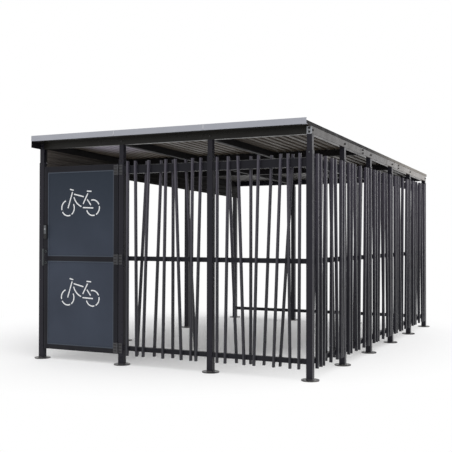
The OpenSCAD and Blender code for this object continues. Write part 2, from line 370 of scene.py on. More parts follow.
@dataclass(frozen=True)
class DeckSheet:
    """Coated deck sheet: spangle, streaks along the ribs, painted shade towards the rear and a painted
    highlight patch beneath.
    """

    name: str
    colour: Colour
    metal: float = 0.25
    roughness: float = 0.40
    rough_drift: Span = (-0.08, 0.14)
    gloss: float = 0.1
    # Painted shade: the sheet darkens along y towards the rear, down to a share of its colour.
    painted_shade: float = 0.85
    painted_shade_share: float = 0.08
    painted_shade_ys: Span = (-0.6, 1.6)
    # Painted highlight: a pale patch on the underside, near the front of the left sheet.
    painted_highlight_colour: Colour | None = None
    highlight_xs: Span = (-1.38, -1.15)
    highlight_ys: Span = (-1.2, -1.9)
    highlight_normals: Span = (0.0, -0.5)
    streak: Point = (9.0, 0.35, 9.0)
    streak_shades: Span = (0.80, 1.18)
    spangle: float = 55
    leaf_span: Span = (0.0, 0.8)
    leaf_most: float = 0.25
    leaf_shade: float = 1.5
    dents: float = 30
    relief: Span = (0.06, 0.6 * MM)

    def material(self) -> Material:
        """Makes the material.

        Returns:
            The material.
        """
        shader = Shader(self.name)
        crystals = shader.add("ShaderNodeTexVoronoi")
        crystals.inputs["Scale"].default_value = self.spangle
        shader.join(shader.place, crystals.inputs["Vector"])
        streaks = shader.span(shader.noise(1, 4, shader.stretched(self.streak)), NOISE_SPAN)
        sheet = shader.blend(streaks, *(shade(self.colour, share) for share in self.streak_shades))
        leaf = shader.span(crystals.outputs["Distance"], self.leaf_span, (0.0, self.leaf_most))
        sheet = shader.blend(leaf, sheet, shade(self.colour, self.leaf_shade))
        # Painted highlight: the pale patch on the underside.
        if self.painted_highlight_colour:
            across = shader.span(shader.along(Axis.X), self.highlight_xs)
            lengthwise = shader.span(shader.along(Axis.Y), self.highlight_ys)
            beneath = shader.span(shader.along(Axis.Z, shader.normal), self.highlight_normals)
            patch = shader.product(shader.product(across, lengthwise), beneath)
            sheet = shader.blend(patch, sheet, self.painted_highlight_colour)
        # Painted shade towards the rear end.
        shaded_end = shader.span(shader.along(Axis.Y), self.painted_shade_ys, (0.0, self.painted_shade))
        shader.paint(shader.blend(shaded_end, sheet, shade(self.colour, self.painted_shade_share)))
        shader.roughen(streaks, self.roughness, self.rough_drift, source=(0.0, 1.0))
        shader.bump(shader.noise(self.dents, detail=3), *self.relief)
        shader.set(Metallic=self.metal, Specular_IOR_Level=self.gloss)
        return shader.material


@dataclass(frozen=True)
class BareMetal:
    """Plated or brushed metal with a fine grain and faint stains."""

    name: str
    colour: Colour
    metal: float = 1.0
    roughness: float = 0.34
    rough_drift: Span = (-0.06, 0.12)
    grain: Point = (260.0, 260.0, 30.0)
    stains: float = 35
    stain_span: Span = (0.35, 0.7)
    stain_shade: float = 0.7
    relief: Span = (0.08, 0.2 * MM)

    def material(self) -> Material:
        """Makes the material.

        Returns:
            The material.
        """
        shader = Shader(self.name)
        grain = shader.noise(1, 3, shader.stretched(self.grain))
        stains = shader.span(shader.noise(self.stains, detail=4), self.stain_span)
        shader.paint(shader.blend(stains, self.colour, shade(self.colour, self.stain_shade)))
        shader.roughen(grain, self.roughness, self.rough_drift)
        shader.bump(grain, *self.relief)
        shader.set(Metallic=self.metal)
        return shader.material


@dataclass(frozen=True)
class MouldedPlastic:
    """Moulded plastic of caps and plugs: matt, with a faint orange-peel surface."""

    name: str
    colour: Colour
    roughness: float = 0.5
    rough_drift: Span = (-0.06, 0.08)
    gloss: float = 0.35
    clouds: float = 40
    cloud_shades: Span = (0.85, 1.15)
    peel: float = 300
    relief: Span = (0.1, 0.3 * MM)

    def material(self) -> Material:
        """Makes the material.

        Returns:
            The material.
        """
        shader = Shader(self.name)
        clouds = shader.noise(self.clouds, detail=3)
        shader.paint(shader.blend(clouds, *(shade(self.colour, share) for share in self.cloud_shades)))
        peel = shader.noise(self.peel)
        shader.roughen(peel, self.roughness, self.rough_drift)
        shader.bump(peel, *self.relief)
        shader.set(Specular_IOR_Level=self.gloss)
        return shader.material


@dataclass(frozen=True)
class StencilPaint:
    """White sign paint, a little thin and chalky in places."""

    name: str
    colour: Colour
    thin_colour: Colour
    roughness: float = 0.55
    rough_drift: Span = (-0.08, 0.08)
    patches: float = 70
    patch_span: Span = (0.52, 0.78)
    thin_most: float = 0.55
    grain: float = 420
    relief: Span = (0.12, 0.2 * MM)

    def material(self) -> Material:
        """Makes the material.

        Returns:
            The material.
        """
        shader = Shader(self.name)
        thin = shader.span(shader.noise(self.patches, detail=5), self.patch_span, (0.0, self.thin_most))
        shader.paint(shader.blend(thin, self.colour, self.thin_colour))
        grain = shader.noise(self.grain)
        shader.roughen(grain, self.roughness, self.rough_drift)
        shader.bump(grain, *self.relief)
        return shader.material


class Palette:
    """The shelter's materials, each made once."""

    def __init__(self) -> None:
        """Makes every material from its finish."""
        # Strong paling within the lowest 22 mm: dust on the base plates, and partly a painted highlight on
        # them.
        self.frame = PowderCoat(
            "frame_coat", srgb(28, 27, 35), roughness=0.30, gloss=0.2, dust_and_highlight=0.8, dust_and_highlight_top=22 * MM
        ).material()
        # The right rafter fades to a pale beige towards the rear: painted light.
        self.beam = PowderCoat(
            "beam_coat", srgb(38, 33, 32), roughness=0.30, gloss=0.22,
            painted_light_colour=srgb(112, 106, 101), fade_axis=Axis.Y, fade_span=(0.0, 1.4),
        ).material()
        # The verge strips fade paler towards the rear: painted light.
        self.verge = PowderCoat(
            "verge_coat", srgb(28, 27, 28), roughness=0.5, gloss=0.05, dust_and_highlight=0,
            painted_light_colour=srgb(130, 125, 119), fade_axis=Axis.Y, fade_span=(-0.6, 1.4),
        ).material()
        self.lintel = PowderCoat(
            "lintel_coat", srgb(26, 25, 22), roughness=0.30, gloss=0.2, dust_and_highlight=0
        ).material()
        self.inner = PowderCoat(
            "inner_coat", srgb(28, 27, 28), roughness=0.5, gloss=0.05, dust_and_highlight=0
        ).material()
        self.fence = PowderCoat(
            "rail_coat", srgb(30, 30, 35), roughness=0.36, gloss=0.1, dust_and_highlight=0.04
        ).material()
        # The fence tubes fade paler upwards: painted reflection of the bright sky.
        self.tube = PowderCoat(
            "tube_coat", srgb(40, 40, 46), roughness=0.32, gloss=0.34, dust_and_highlight=0.04, painted_light_colour=srgb(69, 66, 76)
        ).material()
        # A paler coat on the rounded edges of tubes and rails.
        self.pale_edge = PowderCoat(
            "pale_edge_coat", srgb(46, 46, 51), roughness=0.40, gloss=0.12, dust_and_highlight=0.04
        ).material()
        # The door panels fade darker upwards: painted shade under the roof's overhang.
        self.panel = PowderCoat(
            "panel_coat", srgb(58, 64, 76), roughness=0.5, gloss=0.1, drift=0.1, dust_and_highlight=0.02,
            painted_light_colour=srgb(42, 49, 59), fade_span=(0.95, 2.0),
        ).material()
        self.bead = PowderCoat(
            "bead_coat", srgb(62, 69, 80), roughness=0.4, gloss=0.2, drift=0.1, dust_and_highlight=0.02
        ).material()
        self.flashing = PowderCoat(
            "flashing_coat", srgb(156, 158, 166), roughness=0.36, drift=0.05, dust_and_highlight=0
        ).material()
        self.hinge = PowderCoat("hinge_coat", srgb(50, 50, 54), roughness=0.36, gloss=0.4).material()
        # Every deck sheet darkens towards the rear: painted shade.
        self.deck = DeckSheet("deck_coat", srgb(68, 60, 51)).material()
        # The left deck sheet's pale patch beneath is a painted highlight.
        self.highlit_deck = DeckSheet(
            "highlit_deck_coat", srgb(68, 60, 51), painted_highlight_colour=srgb(176, 170, 184)
        ).material()
        # The header darkens from its front end towards the rear, nearly to black: painted shade.
        self.header = DeckSheet(
            "header_coat", srgb(84, 79, 75), metal=0.0, roughness=0.6, gloss=0.05,
            painted_shade=1.0, painted_shade_ys=(-2.2, -0.9),
        ).material()
        self.zinc = BareMetal("zinc_plate", srgb(176, 178, 180)).material()
        self.black_bolt = BareMetal("black_bolt", srgb(58, 57, 58), metal=0.7, roughness=0.42).material()
        self.lock_case = PowderCoat("lock_coat", srgb(20, 20, 22), roughness=0.38, dust_and_highlight=0).material()
        self.lock = BareMetal("lock_grey", srgb(92, 95, 98), metal=0.5, roughness=0.38).material()
        self.handle = PowderCoat(
            "handle_coat", srgb(52, 56, 58), roughness=0.34, gloss=0.4, dust_and_highlight=0
        ).material()
        self.end_plate = PowderCoat(
            "end_plate_coat", srgb(150, 153, 158), roughness=0.4, drift=0.08, dust_and_highlight=0
        ).material()
        # This black also fills the hinge slots and the keyway: painted shade in those recesses.
        self.plug = MouldedPlastic("black_plug_and_hole_shade", srgb(16, 16, 17)).material()
        self.sign = StencilPaint("sign_white", srgb(226, 227, 228), srgb(150, 154, 160)).material()


class Bench:
    """Modelling moves that the pieces share, made with the editor's own operators."""

    @staticmethod
    def settled(name: str) -> Piece:
        """Names the piece just added, and puts its place into its mesh.

        Args:
            name: The piece's name.

        Returns:
            The piece.
        """
        piece = bpy.context.object
        piece.name = piece.data.name = name
        bpy.ops.object.transform_apply(location=True, rotation=True, scale=True)
        return piece

    @staticmethod
    def block(name: str, low: Point, high: Point) -> Piece:
        """Adds a box.

        Args:
            name: The piece's name.
            low: Its lowest corner.
            high: Its highest corner.

        Returns:
            The box.
        """
        bpy.ops.object.select_all(action="DESELECT")
        middle = [(a + b) / 2 for a, b in zip(low, high)]
        size = [b - a for a, b in zip(low, high)]
        bpy.ops.mesh.primitive_cube_add(size=1, location=middle, scale=size)
        return Bench.settled(name)

    @staticmethod
    def rod(name: str, radius: float, length: float, sides: int, foot: Point = (0, 0, 0)) -> Piece:
        """Adds an upright prism.

        Args:
            name: The piece's name.
            radius: Its radius at the corners.
            length: Its height.
            sides: Its number of sides.
            foot: The middle of its lower end.

        Returns:
            The prism.
        """
        bpy.ops.object.select_all(action="DESELECT")
        middle = (foot[0], foot[1], foot[2] + length / 2)
        bpy.ops.mesh.primitive_cylinder_add(vertices=sides, radius=radius, depth=length, location=middle)
        return Bench.settled(name)

    @staticmethod
    @contextmanager
    def editing(piece: Piece) -> Iterator[None]:
        """Opens a piece in edit mode, and closes it again.

        Args:
            piece: The piece.

        Returns:
            The context to edit in.
        """
        bpy.ops.object.select_all(action="DESELECT")
        piece.select_set(True)
        bpy.context.view_layer.objects.active = piece
        bpy.ops.object.mode_set(mode="EDIT")
        yield
        bpy.ops.object.mode_set(mode="OBJECT")

    @staticmethod
    def pick(piece: Piece, test: Test, edges: bool = False) -> None:
        """Selects the faces or edges of an open piece that pass a test, and no others.

        Args:
            piece: The piece in edit mode.
            test: Says whether a face or edge is wanted.
            edges: Edges, where faces would be picked otherwise.
        """
        bpy.ops.mesh.select_mode(type="EDGE" if edges else "FACE")
        bpy.ops.mesh.select_all(action="DESELECT")
        shape = bmesh.from_edit_mesh(piece.data)
        for part in shape.edges if edges else shape.faces:
            if test(part):
                part.select_set(True)
        bmesh.update_edit_mesh(piece.data)

    @staticmethod
    def along(axis: Axis) -> Test:
        """Gives a test for the edges along an axis."""
        return lambda edge: abs((edge.verts[1].co - edge.verts[0].co).normalized()[axis.value]) > ALIGNED

    @staticmethod
    def above(height: float) -> Test:
        """Gives a test for the edges that lie above a height."""
        return lambda edge: all(vert.co.z > height for vert in edge.verts)

    @staticmethod
    def facing(axis: Axis, side: int = 0) -> Test:
        """Gives a test for faces by their normal.

        Args:
            axis: The axis that they face along.
            side: 1 or -1 for one direction, 0 for both.

        Returns:
            The test.
        """
        if side:
            return lambda face: face.normal[axis.value] * side > ALIGNED
        return lambda face: abs(face.normal[axis.value]) > ALIGNED

    @staticmethod
    def between(edge: bmesh.types.BMEdge, axis: Axis, limits: Span) -> bool:
        """Says whether an edge keeps between two places along an axis."""
        return all(limits[0] < vert.co[axis.value] < limits[1] for vert in edge.verts)

    @staticmethod
    def round_edges(
        piece: Piece, radius: float, test: Test, segments: int = 2, pale_edge: bool = False
    ) -> None:
        """Rounds edges.

        Args:
            piece: The piece.
            radius: The rounding's size.
            test: Says which edges.
            segments: Faces across it.
            pale_edge: Gives the new faces the piece's second material.
        """
        with Bench.editing(piece):
            Bench.pick(piece, test, edges=True)
            bpy.ops.mesh.bevel(offset=radius, segments=segments, affect="EDGES", material=1 if pale_edge else -1)

    @staticmethod
    def stepped(piece: Piece, side: int, shares: Shares, radius: float, height: float) -> Piece:
        """Insets the ends of an upright prism, each step inside the one before.

        Args:
            piece: The prism.
            side: 1 for its upper end, 0 for both ends.
            shares: Each step's width as a share of the radius, and its rise as a share of the height.
            radius: The radius.
            height: The height.

        Returns:
            The prism.
        """
        with Bench.editing(piece):
            Bench.pick(piece, Bench.facing(Axis.Z, side))
            for width, rise in shares:
                bpy.ops.mesh.inset(thickness=width * radius, depth=rise * height)
        return piece

    @staticmethod
    def dress(piece: Piece, *materials: Material) -> Piece:
        """Gives a piece its materials.

        Args:
            piece: The piece.
            *materials: The materials, in the order of its slots.

        Returns:
            The piece.
        """
        piece.data.materials.clear()
        for material in materials:
            piece.data.materials.append(material)
        return piece

    @staticmethod
    def copies(master: Piece, places: Places) -> list[Piece]:
        """Copies a finished shape to its places, each copy with its own mesh, and deletes the first.

        Args:
            master: The shape, at the origin.
            places: One matrix for each copy.

        Returns:
            The copies.
        """
        made = []
        for place in places:
            copy = master.copy()
            copy.data = master.data.copy()
            copy.data.transform(place)
            bpy.context.scene.collection.objects.link(copy)
            made.append(copy)
        bpy.data.objects.remove(master)
        return made

    @staticmethod
    def joined(name: str, pieces: Sequence[Piece]) -> Piece:
        """Joins pieces into one, smooth where its faces meet at small angles.

        Args:
            name: The joined piece's name.
            pieces: The pieces.

        Returns:
            The joined piece.
        """
        bpy.ops.object.select_all(action="DESELECT")
        for piece in pieces:
            piece.select_set(True)
        bpy.context.view_layer.objects.active = pieces[0]
        bpy.ops.object.join()
        piece = bpy.context.object
        piece.name = piece.data.name = name
        bpy.ops.object.shade_smooth_by_angle(angle=SMOOTH_ANGLE)
        return piece

    @staticmethod
    def fit(piece: Piece, body: Body, slot: Slot, *nodes: str) -> None:
        """Fixes a finished piece to its body.

        Args:
            piece: The piece.
            body: The body that it moves with.
            slot: Not used; the record's slot that its finish would come from.
            *nodes: CAD nodes that it stands for.
        """
        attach(piece, body.value)
        if nodes:
            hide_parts(*nodes)
        log.info("%s: %d faces, on %s", piece.name, len(piece.data.polygons), body.value)


@dataclass
class Studio:
    """Pale floor, soft light, white surroundings and the camera."""

    floor_span: float = 80.0
    floor_drop: float = 0.5 * MM
    floor_colour: Colour = (0.98, 0.98, 0.985)
    floor_roughness: float = 0.9
    floor_gloss: float = 0.1
    speckle: float = 0.8
    speckle_shade: float = 0.99
    fade_squeeze: Point = (0.75, 0.667, 1.0)
    fade_shift: Point = (0.75, -0.2, 0.0)
    fade_start: float = 1.3
    fade_end: float = 2.9
    sky: float = 0.75
    lamp_spread: float = 70.0
    lamps: tuple = (("front_lamp", 1.10, (38.0, 0.0, 52.0)), ("side_lamp", 0.45, (64.0, 0.0, 157.0)))
    image_px: int = 452
    focal_px: float = 792.58
    sensor_mm: float = 36.0
    camera_spot: Point = (3.9274, -9.0748, 1.2881)
    camera_turn: Point = (90.765, -0.09, 25.916)

    def build(self) -> None:
        """Sets the stage."""
        bpy.context.scene.view_settings.view_transform = "Standard"
        self.lay_floor()
        self.light_world()
        self.hang_lamps()
        self.set_camera()

    def lay_floor(self) -> None:
        """Lays a floor that keeps the shadow and fades to white far from the shelter."""
        bpy.ops.object.select_all(action="DESELECT")
        bpy.ops.mesh.primitive_plane_add(size=self.floor_span, location=(0, 0, -self.floor_drop))
        floor = Bench.settled("floor")
        shader = Shader("floor_paint")
        speckle = shader.span(shader.noise(self.speckle, detail=3), NOISE_SPAN)
        shader.paint(shader.blend(speckle, shade(self.floor_colour, self.speckle_shade), self.floor_colour))
        shader.set(Roughness=self.floor_roughness, Specular_IOR_Level=self.floor_gloss)
        reach = shader.add("ShaderNodeVectorMath", operation="LENGTH")
        shader.join(shader.stretched(self.fade_squeeze, self.fade_shift), reach.inputs[0])
        far = shader.span(reach.outputs["Value"], (self.fade_start, self.fade_end))
        white = shader.add("ShaderNodeEmission")
        mix = shader.add("ShaderNodeMixShader")
        shader.join(far, mix.inputs[0])
        shader.join(shader.surface.outputs[0], mix.inputs[1])
        shader.join(white.outputs[0], mix.inputs[2])
        shader.join(mix.outputs[0], shader.tree.nodes["Material Output"].inputs["Surface"])
        Bench.dress(floor, shader.material)

    def light_world(self) -> None:
        """Lights the scene all round, and shows white to the camera and in reflections."""
        world = bpy.data.worlds.new("surroundings")
        world.use_nodes = True
        bpy.context.scene.world = world
        tree = world.node_tree
        path = tree.nodes.new("ShaderNodeLightPath")
        seen = path.outputs["Is Camera Ray"]
        for name in ("Is Glossy Ray", "Is Transmission Ray"):
            most = tree.nodes.new("ShaderNodeMath")
            most.operation = "MAXIMUM"
            tree.links.new(seen, most.inputs[0])
            tree.links.new(path.outputs[name], most.inputs[1])
            seen = most.outputs[0]
        level = tree.nodes.new("ShaderNodeMapRange")
        level.inputs["To Min"].default_value = self.sky
        tree.links.new(seen, level.inputs["Value"])
        back = tree.nodes["Background"]
        back.inputs["Color"].default_value = (1, 1, 1, 1)
        tree.links.new(level.outputs["Result"], back.inputs["Strength"])

    def hang_lamps(self) -> None:
        """Hangs two broad lamps at the right, one in front and one behind."""
        for name, energy, turn in self.lamps:
            lamp = bpy.data.lights.new(name, "SUN")
            lamp.energy = energy
            lamp.angle = math.radians(self.lamp_spread)
            holder = bpy.data.objects.new(name, lamp)
            holder.rotation_euler = [math.radians(a) for a in turn]
            bpy.context.scene.collection.objects.link(holder)

    def set_camera(self) -> None:
        """Sets the camera where the photograph was taken from."""
        lens = bpy.data.cameras.new("camera")
        lens.sensor_width = self.sensor_mm
        lens.lens = self.focal_px * self.sensor_mm / self.image_px
        lens.clip_end = 2 * self.floor_span
        holder = bpy.data.objects.new("camera", lens)
        holder.location = self.camera_spot
        holder.rotation_euler = [math.radians(a) for a in self.camera_turn]
        bpy.context.scene.collection.objects.link(holder)
        bpy.context.scene.camera = holder


@dataclass
class Plan:
    """Post axes and outward directions of the shelter."""

    bay_w: float = 1.000
    bay_d: float = 0.955
    bays_wide: int = 3
    bays_deep: int = 5
    left_bays: int = 3
    front_y: float = -2.350
    post_half: float = 0.030
    post_h: float = 2.065

    @property
    def half_w(self) -> float:
        """Half the distance between the side walls' post axes."""
        return self.bays_wide * self.bay_w / 2

    @property
    def run(self) -> float:
        """Distance from the front post axes to the rear ones."""
        return self.bays_deep * self.bay_d

    @property
    def rear_y(self) -> float:
        """The rear post axes' place."""
        return self.front_y + self.run

    def front_spot(self, i: int) -> tuple[float, float]:
        """Gives the axis of a front post."""
        return i * self.bay_w - self.half_w, self.front_y

    def right_spot(self, i: int) -> tuple[float, float]:
        """Gives the axis of a right wall's post."""
        return self.half_w, self.front_y + i * self.bay_d

    def left_spot(self, i: int) -> tuple[float, float]:
        """Gives the axis of a left post."""
        return -self.half_w, self.front_y + i * self.run / self.left_bays

    def rear_spot(self, i: int) -> tuple[float, float]:
        """Gives the axis of a rear post."""
        return i * self.bay_w - self.half_w, self.rear_y

    def outward(self) -> list[tuple[tuple[float, float], float]]:
        """Lists each post's axis and the turn of its outer face.

        Returns:
            Pairs of axis and turn about the vertical, 0 for a face to the front.
        """
        right, rear, left = math.pi / 2, math.pi, -math.pi / 2
        posts = [(self.front_spot(i), 0.0) for i in range(self.bays_wide + 1)]
        posts += [(self.right_spot(i), right) for i in range(1, self.bays_deep + 1)]
        posts += [(self.left_spot(i), left) for i in range(1, self.left_bays + 1)]
        return posts + [(self.rear_spot(i), rear) for i in range(1, self.bays_wide)]


class Head(Enum):
    """Screw heads: radius across the corners, height and washer radius in millimetres, 0 for no washer."""

    FRAME_BOLT = (9.8, 6.4, 11.0)
    CLEAT_BOLT = (7.5, 5.0, 9.0)
    DECK_SCREW = (5.2, 4.5, 9.5)
    BUTTON = (7.0, 4.0, 0.0)
    SUNK = (3.8, 0.8, 0.0)


@dataclass
class Fixings:
    """Hexagon bolts and round screws, each shaped once with its axis along +z."""

    washer_t: float = 2 * MM
    washer_shares: Shares = ((0.08, 0.2),)
    hexagon_shares: Shares = ((0.14, 0.12), (0.3, 0.0), (0.04, -0.05))
    socket_shares: Shares = ((0.22, 0.35), (0.30, 0.05), (0.03, -0.7))

    def washer(self, radius: float) -> Piece:
        """Shapes a washer with a softened rim."""
        washer = Bench.rod("washer", radius, self.washer_t, sides=14)
        return Bench.stepped(washer, 1, self.washer_shares, radius, self.washer_t)

    def hexagon(self, head: Head, material: Material) -> Piece:
        """Shapes a hexagon head on its washer.

        Args:
            head: The head's sizes.
            material: The plating.

        Returns:
            The bolt.
        """
        radius, height, washer_r = (size * MM for size in head.value)
        bolt = Bench.rod("head", radius, height, sides=6, foot=(0, 0, self.washer_t))
        Bench.stepped(bolt, 1, self.hexagon_shares, radius, height)
        return Bench.dress(Bench.joined("bolt", [bolt, self.washer(washer_r)]), material)

    def socketed(self, head: Head, material: Material) -> Piece:
        """Shapes a low round head with a recessed drive.

        Args:
            head: The head's sizes.
            material: The plating.

        Returns:
            The screw.
        """
        radius, height, _ = (size * MM for size in head.value)
        screw = Bench.rod("screw", radius, height, sides=12)
        Bench.stepped(screw, 1, self.socket_shares, radius, height)
        return Bench.dress(screw, material)


@dataclass
class TubeStock:
    """Steel tube in cut lengths: rounded corners in a paler coat, plugged ends and weld beads."""

    palette: Palette
    wall: float = 2 * MM
    rounding: float = 2.5 * MM
    plug_gap: float = 0.3 * MM
    plug_sink: float = 0.8 * MM
    plug_edge: float = 0.5 * MM
    plug_rise: float = 1.2 * MM
    bead_shares: Shares = ((0.4, 0.6),)

    def upright(self, width: float, depth: float, length: float, coat: Material) -> Piece:
        """Shapes an upright tube on the origin with a plug in each end.

        Args:
            width: Its size along x.
            depth: Its size along y.
            length: Its height.
            coat: Its coat.

        Returns:
            The tube.
        """
        tube = Bench.block("tube", (-width / 2, -depth / 2, 0), (width / 2, depth / 2, length))
        Bench.dress(tube, coat, self.palette.pale_edge, self.palette.plug)
        Bench.round_edges(tube, self.rounding, Bench.along(Axis.Z), pale_edge=True)
        with Bench.editing(tube):
            Bench.pick(tube, Bench.facing(Axis.Z))
            bpy.ops.mesh.inset(thickness=self.wall, depth=0)
            tube.active_material_index = 2
            bpy.ops.object.material_slot_assign()
            bpy.ops.mesh.inset(thickness=self.plug_gap, depth=-self.plug_sink)
            bpy.ops.mesh.inset(thickness=self.plug_edge, depth=self.plug_rise)
        return tube

    def rail(self, low: Point, high: Point) -> Piece:
        """Shapes a level tube along x, whose ends butt against other tubes.

        Args:
            low: Its lowest corner.
            high: Its highest corner.

        Returns:
            The rail.
        """
        rail = Bench.block("rail", low, high)
        Bench.dress(rail, self.palette.fence, self.palette.pale_edge)
        Bench.round_edges(rail, self.rounding, Bench.along(Axis.X), pale_edge=True)
        return rail

    def bead(self, radius: float, length: float) -> Piece:
        """Shapes an upright weld bead on the origin, with tapered ends.

        Args:
            radius: The bead's radius.
            length: The bead's length.

        Returns:
            The bead.
        """
        bead = Bench.rod("bead", radius, length, sides=6)
        Bench.stepped(bead, 0, self.bead_shares, radius, radius)
        return Bench.dress(bead, self.palette.fence)


@dataclass
class Fence:
    """Fence panels: leaning tubes by turns on both faces of three rails."""

    plan: Plan
    stock: TubeStock
    tube_w: float = 22 * MM
    tube_d: float = 30 * MM
    tube_z: float = 0.100
    tube_top_z: float = 2.040
    rail_d: float = 44 * MM
    rail_rows: tuple = ((0.146, 45 * MM), (1.045, 45 * MM), (1.918, 80 * MM))
    weld_bite: float = 0.5 * MM
    bead_r: float = 2.4 * MM
    layers: tuple = (
        Layer.OUT, Layer.OUT, Layer.IN, Layer.OUT, Layer.IN, Layer.OUT,
        Layer.IN, Layer.OUT, Layer.IN, Layer.OUT, Layer.OUT,
    )

    def build(self) -> None:
        """Builds the front wall's two panels and the right wall's five."""
        for i, pattern in enumerate((Pattern.STEEP, Pattern.FAN), 1):
            self.panel(f"fence_front_{i}", Wall.FRONT, self.plan.front_spot(i), self.plan.bay_w, pattern)
        for i in range(self.plan.bays_deep):
            pattern = Pattern.FAN if i % 2 else Pattern.STEEP
            self.panel(f"fence_right_{i + 1}", Wall.RIGHT, self.plan.right_spot(i), self.plan.bay_d, pattern)

    def leans(self, bay: float, pattern: Pattern) -> list[tuple[float, float, Layer]]:
        """Lists the tubes of a panel.

        Args:
            bay: The distance between the post axes.
            pattern: The panel's tube places.

        Returns:
            For each tube the place of its foot, its lean and its layer.
        """
        tops, feet = pattern.value
        rise = self.tube_top_z - self.tube_z
        return [
            (foot * bay, (top - foot) * bay / rise, layer)
            for top, foot, layer in zip(tops, feet, self.layers)
        ]

    @staticmethod
    def leaning(lean: float, x: float, y: float, z: float) -> Matrix:
        """Gives the matrix that leans an upright shape and sets it down.

        Args:
            lean: Sideways shift for each metre of height.
            x: Place along the panel.
            y: Place across it.
            z: Height.

        Returns:
            The matrix.
        """
        return Matrix(((1, 0, lean, x), (0, 1, 0, y), (0, 0, 1, z), (0, 0, 0, 1)))

    def tube_places(self, bay: float, pattern: Pattern) -> list[Matrix]:
        """Places the tubes of a panel.

        Args:
            bay: The distance between the post axes.
            pattern: The panel's tube places.

        Returns:
            One matrix for each tube.
        """
        offset = (self.rail_d + self.tube_d) / 2 - self.weld_bite
        return [
            self.leaning(lean, foot, layer.value * offset, self.tube_z)
            for foot, lean, layer in self.leans(bay, pattern)
        ]

    def bead_places(self, bay: float, pattern: Pattern, rail_z: float) -> list[Matrix]:
        """Places the weld beads along one rail, beside each tube and at both posts.

        Args:
            bay: The distance between the post axes.
            pattern: The panel's tube places.
            rail_z: The height of the rail's underside.

        Returns:
            One matrix for each bead.
        """
        half = self.rail_d / 2
        ends = (self.plan.post_half, bay - self.plan.post_half)
        places = [self.leaning(0, x, side * half, rail_z) for x in ends for side in (-1, 1)]
        for foot, lean, layer in self.leans(bay, pattern):
            x = foot + lean * (rail_z - self.tube_z)
            for side in (-1, 1):
                places.append(self.leaning(lean, x + side * self.tube_w / 2, layer.value * half, rail_z))
        return places

    def panel(self, node: str, wall: Wall, spot: tuple[float, float], bay: float, pattern: Pattern) -> None:
        """Builds one panel in the place of its CAD node.

        Args:
            node: The CAD node's name.
            wall: The wall that it stands in.
            spot: The post axis that it starts from.
            bay: The distance to the next post axis.
            pattern: The panel's tube places.
        """
        rise = self.tube_top_z - self.tube_z
        tube = self.stock.upright(self.tube_w, self.tube_d, rise, self.stock.palette.tube)
        parts = Bench.copies(tube, self.tube_places(bay, pattern))
        start, stop, half = self.plan.post_half, bay - self.plan.post_half, self.rail_d / 2
        for foot, height in self.rail_rows:
            parts.append(self.stock.rail((start, -half, foot), (stop, half, foot + height)))
            parts += Bench.copies(self.stock.bead(self.bead_r, height), self.bead_places(bay, pattern, foot))
        panel = Bench.joined(f"{node}_tubes", parts)
        turn = Matrix.Rotation(math.radians(wall.value), 4, "Z")
        panel.data.transform(Matrix.Translation((*spot, 0)) @ turn)
        Bench.fit(panel, Body.FRAME, Slot.FENCE, node)


@dataclass
class RearRails:
    """Low rails between the rear posts, welded at both ends."""

    plan: Plan
    stock: TubeStock
    width: float = 45 * MM
    foot: float = 0.125
    bead_r: float = 1.8 * MM

    def build(self) -> None:
        """Builds one rail in each bay."""
        parts = []
        half, top, rear_y = self.width / 2, self.foot + self.width, self.plan.rear_y
        for i in range(self.plan.bays_wide):
            start = self.plan.rear_spot(i)[0] + self.plan.post_half
            stop = self.plan.rear_spot(i + 1)[0] - self.plan.post_half
            parts.append(self.stock.rail((start, rear_y - half, self.foot), (stop, rear_y + half, top)))
            ends = [
                Matrix.Translation((x, rear_y + side * half, self.foot))
                for x in (start, stop)
                for side in (-1, 1)
            ]
            parts += Bench.copies(self.stock.bead(self.bead_r, self.width), ends)
        Bench.fit(Bench.joined("rear_rails", parts), Body.FRAME, Slot.FRAME, "rear_low_rails")


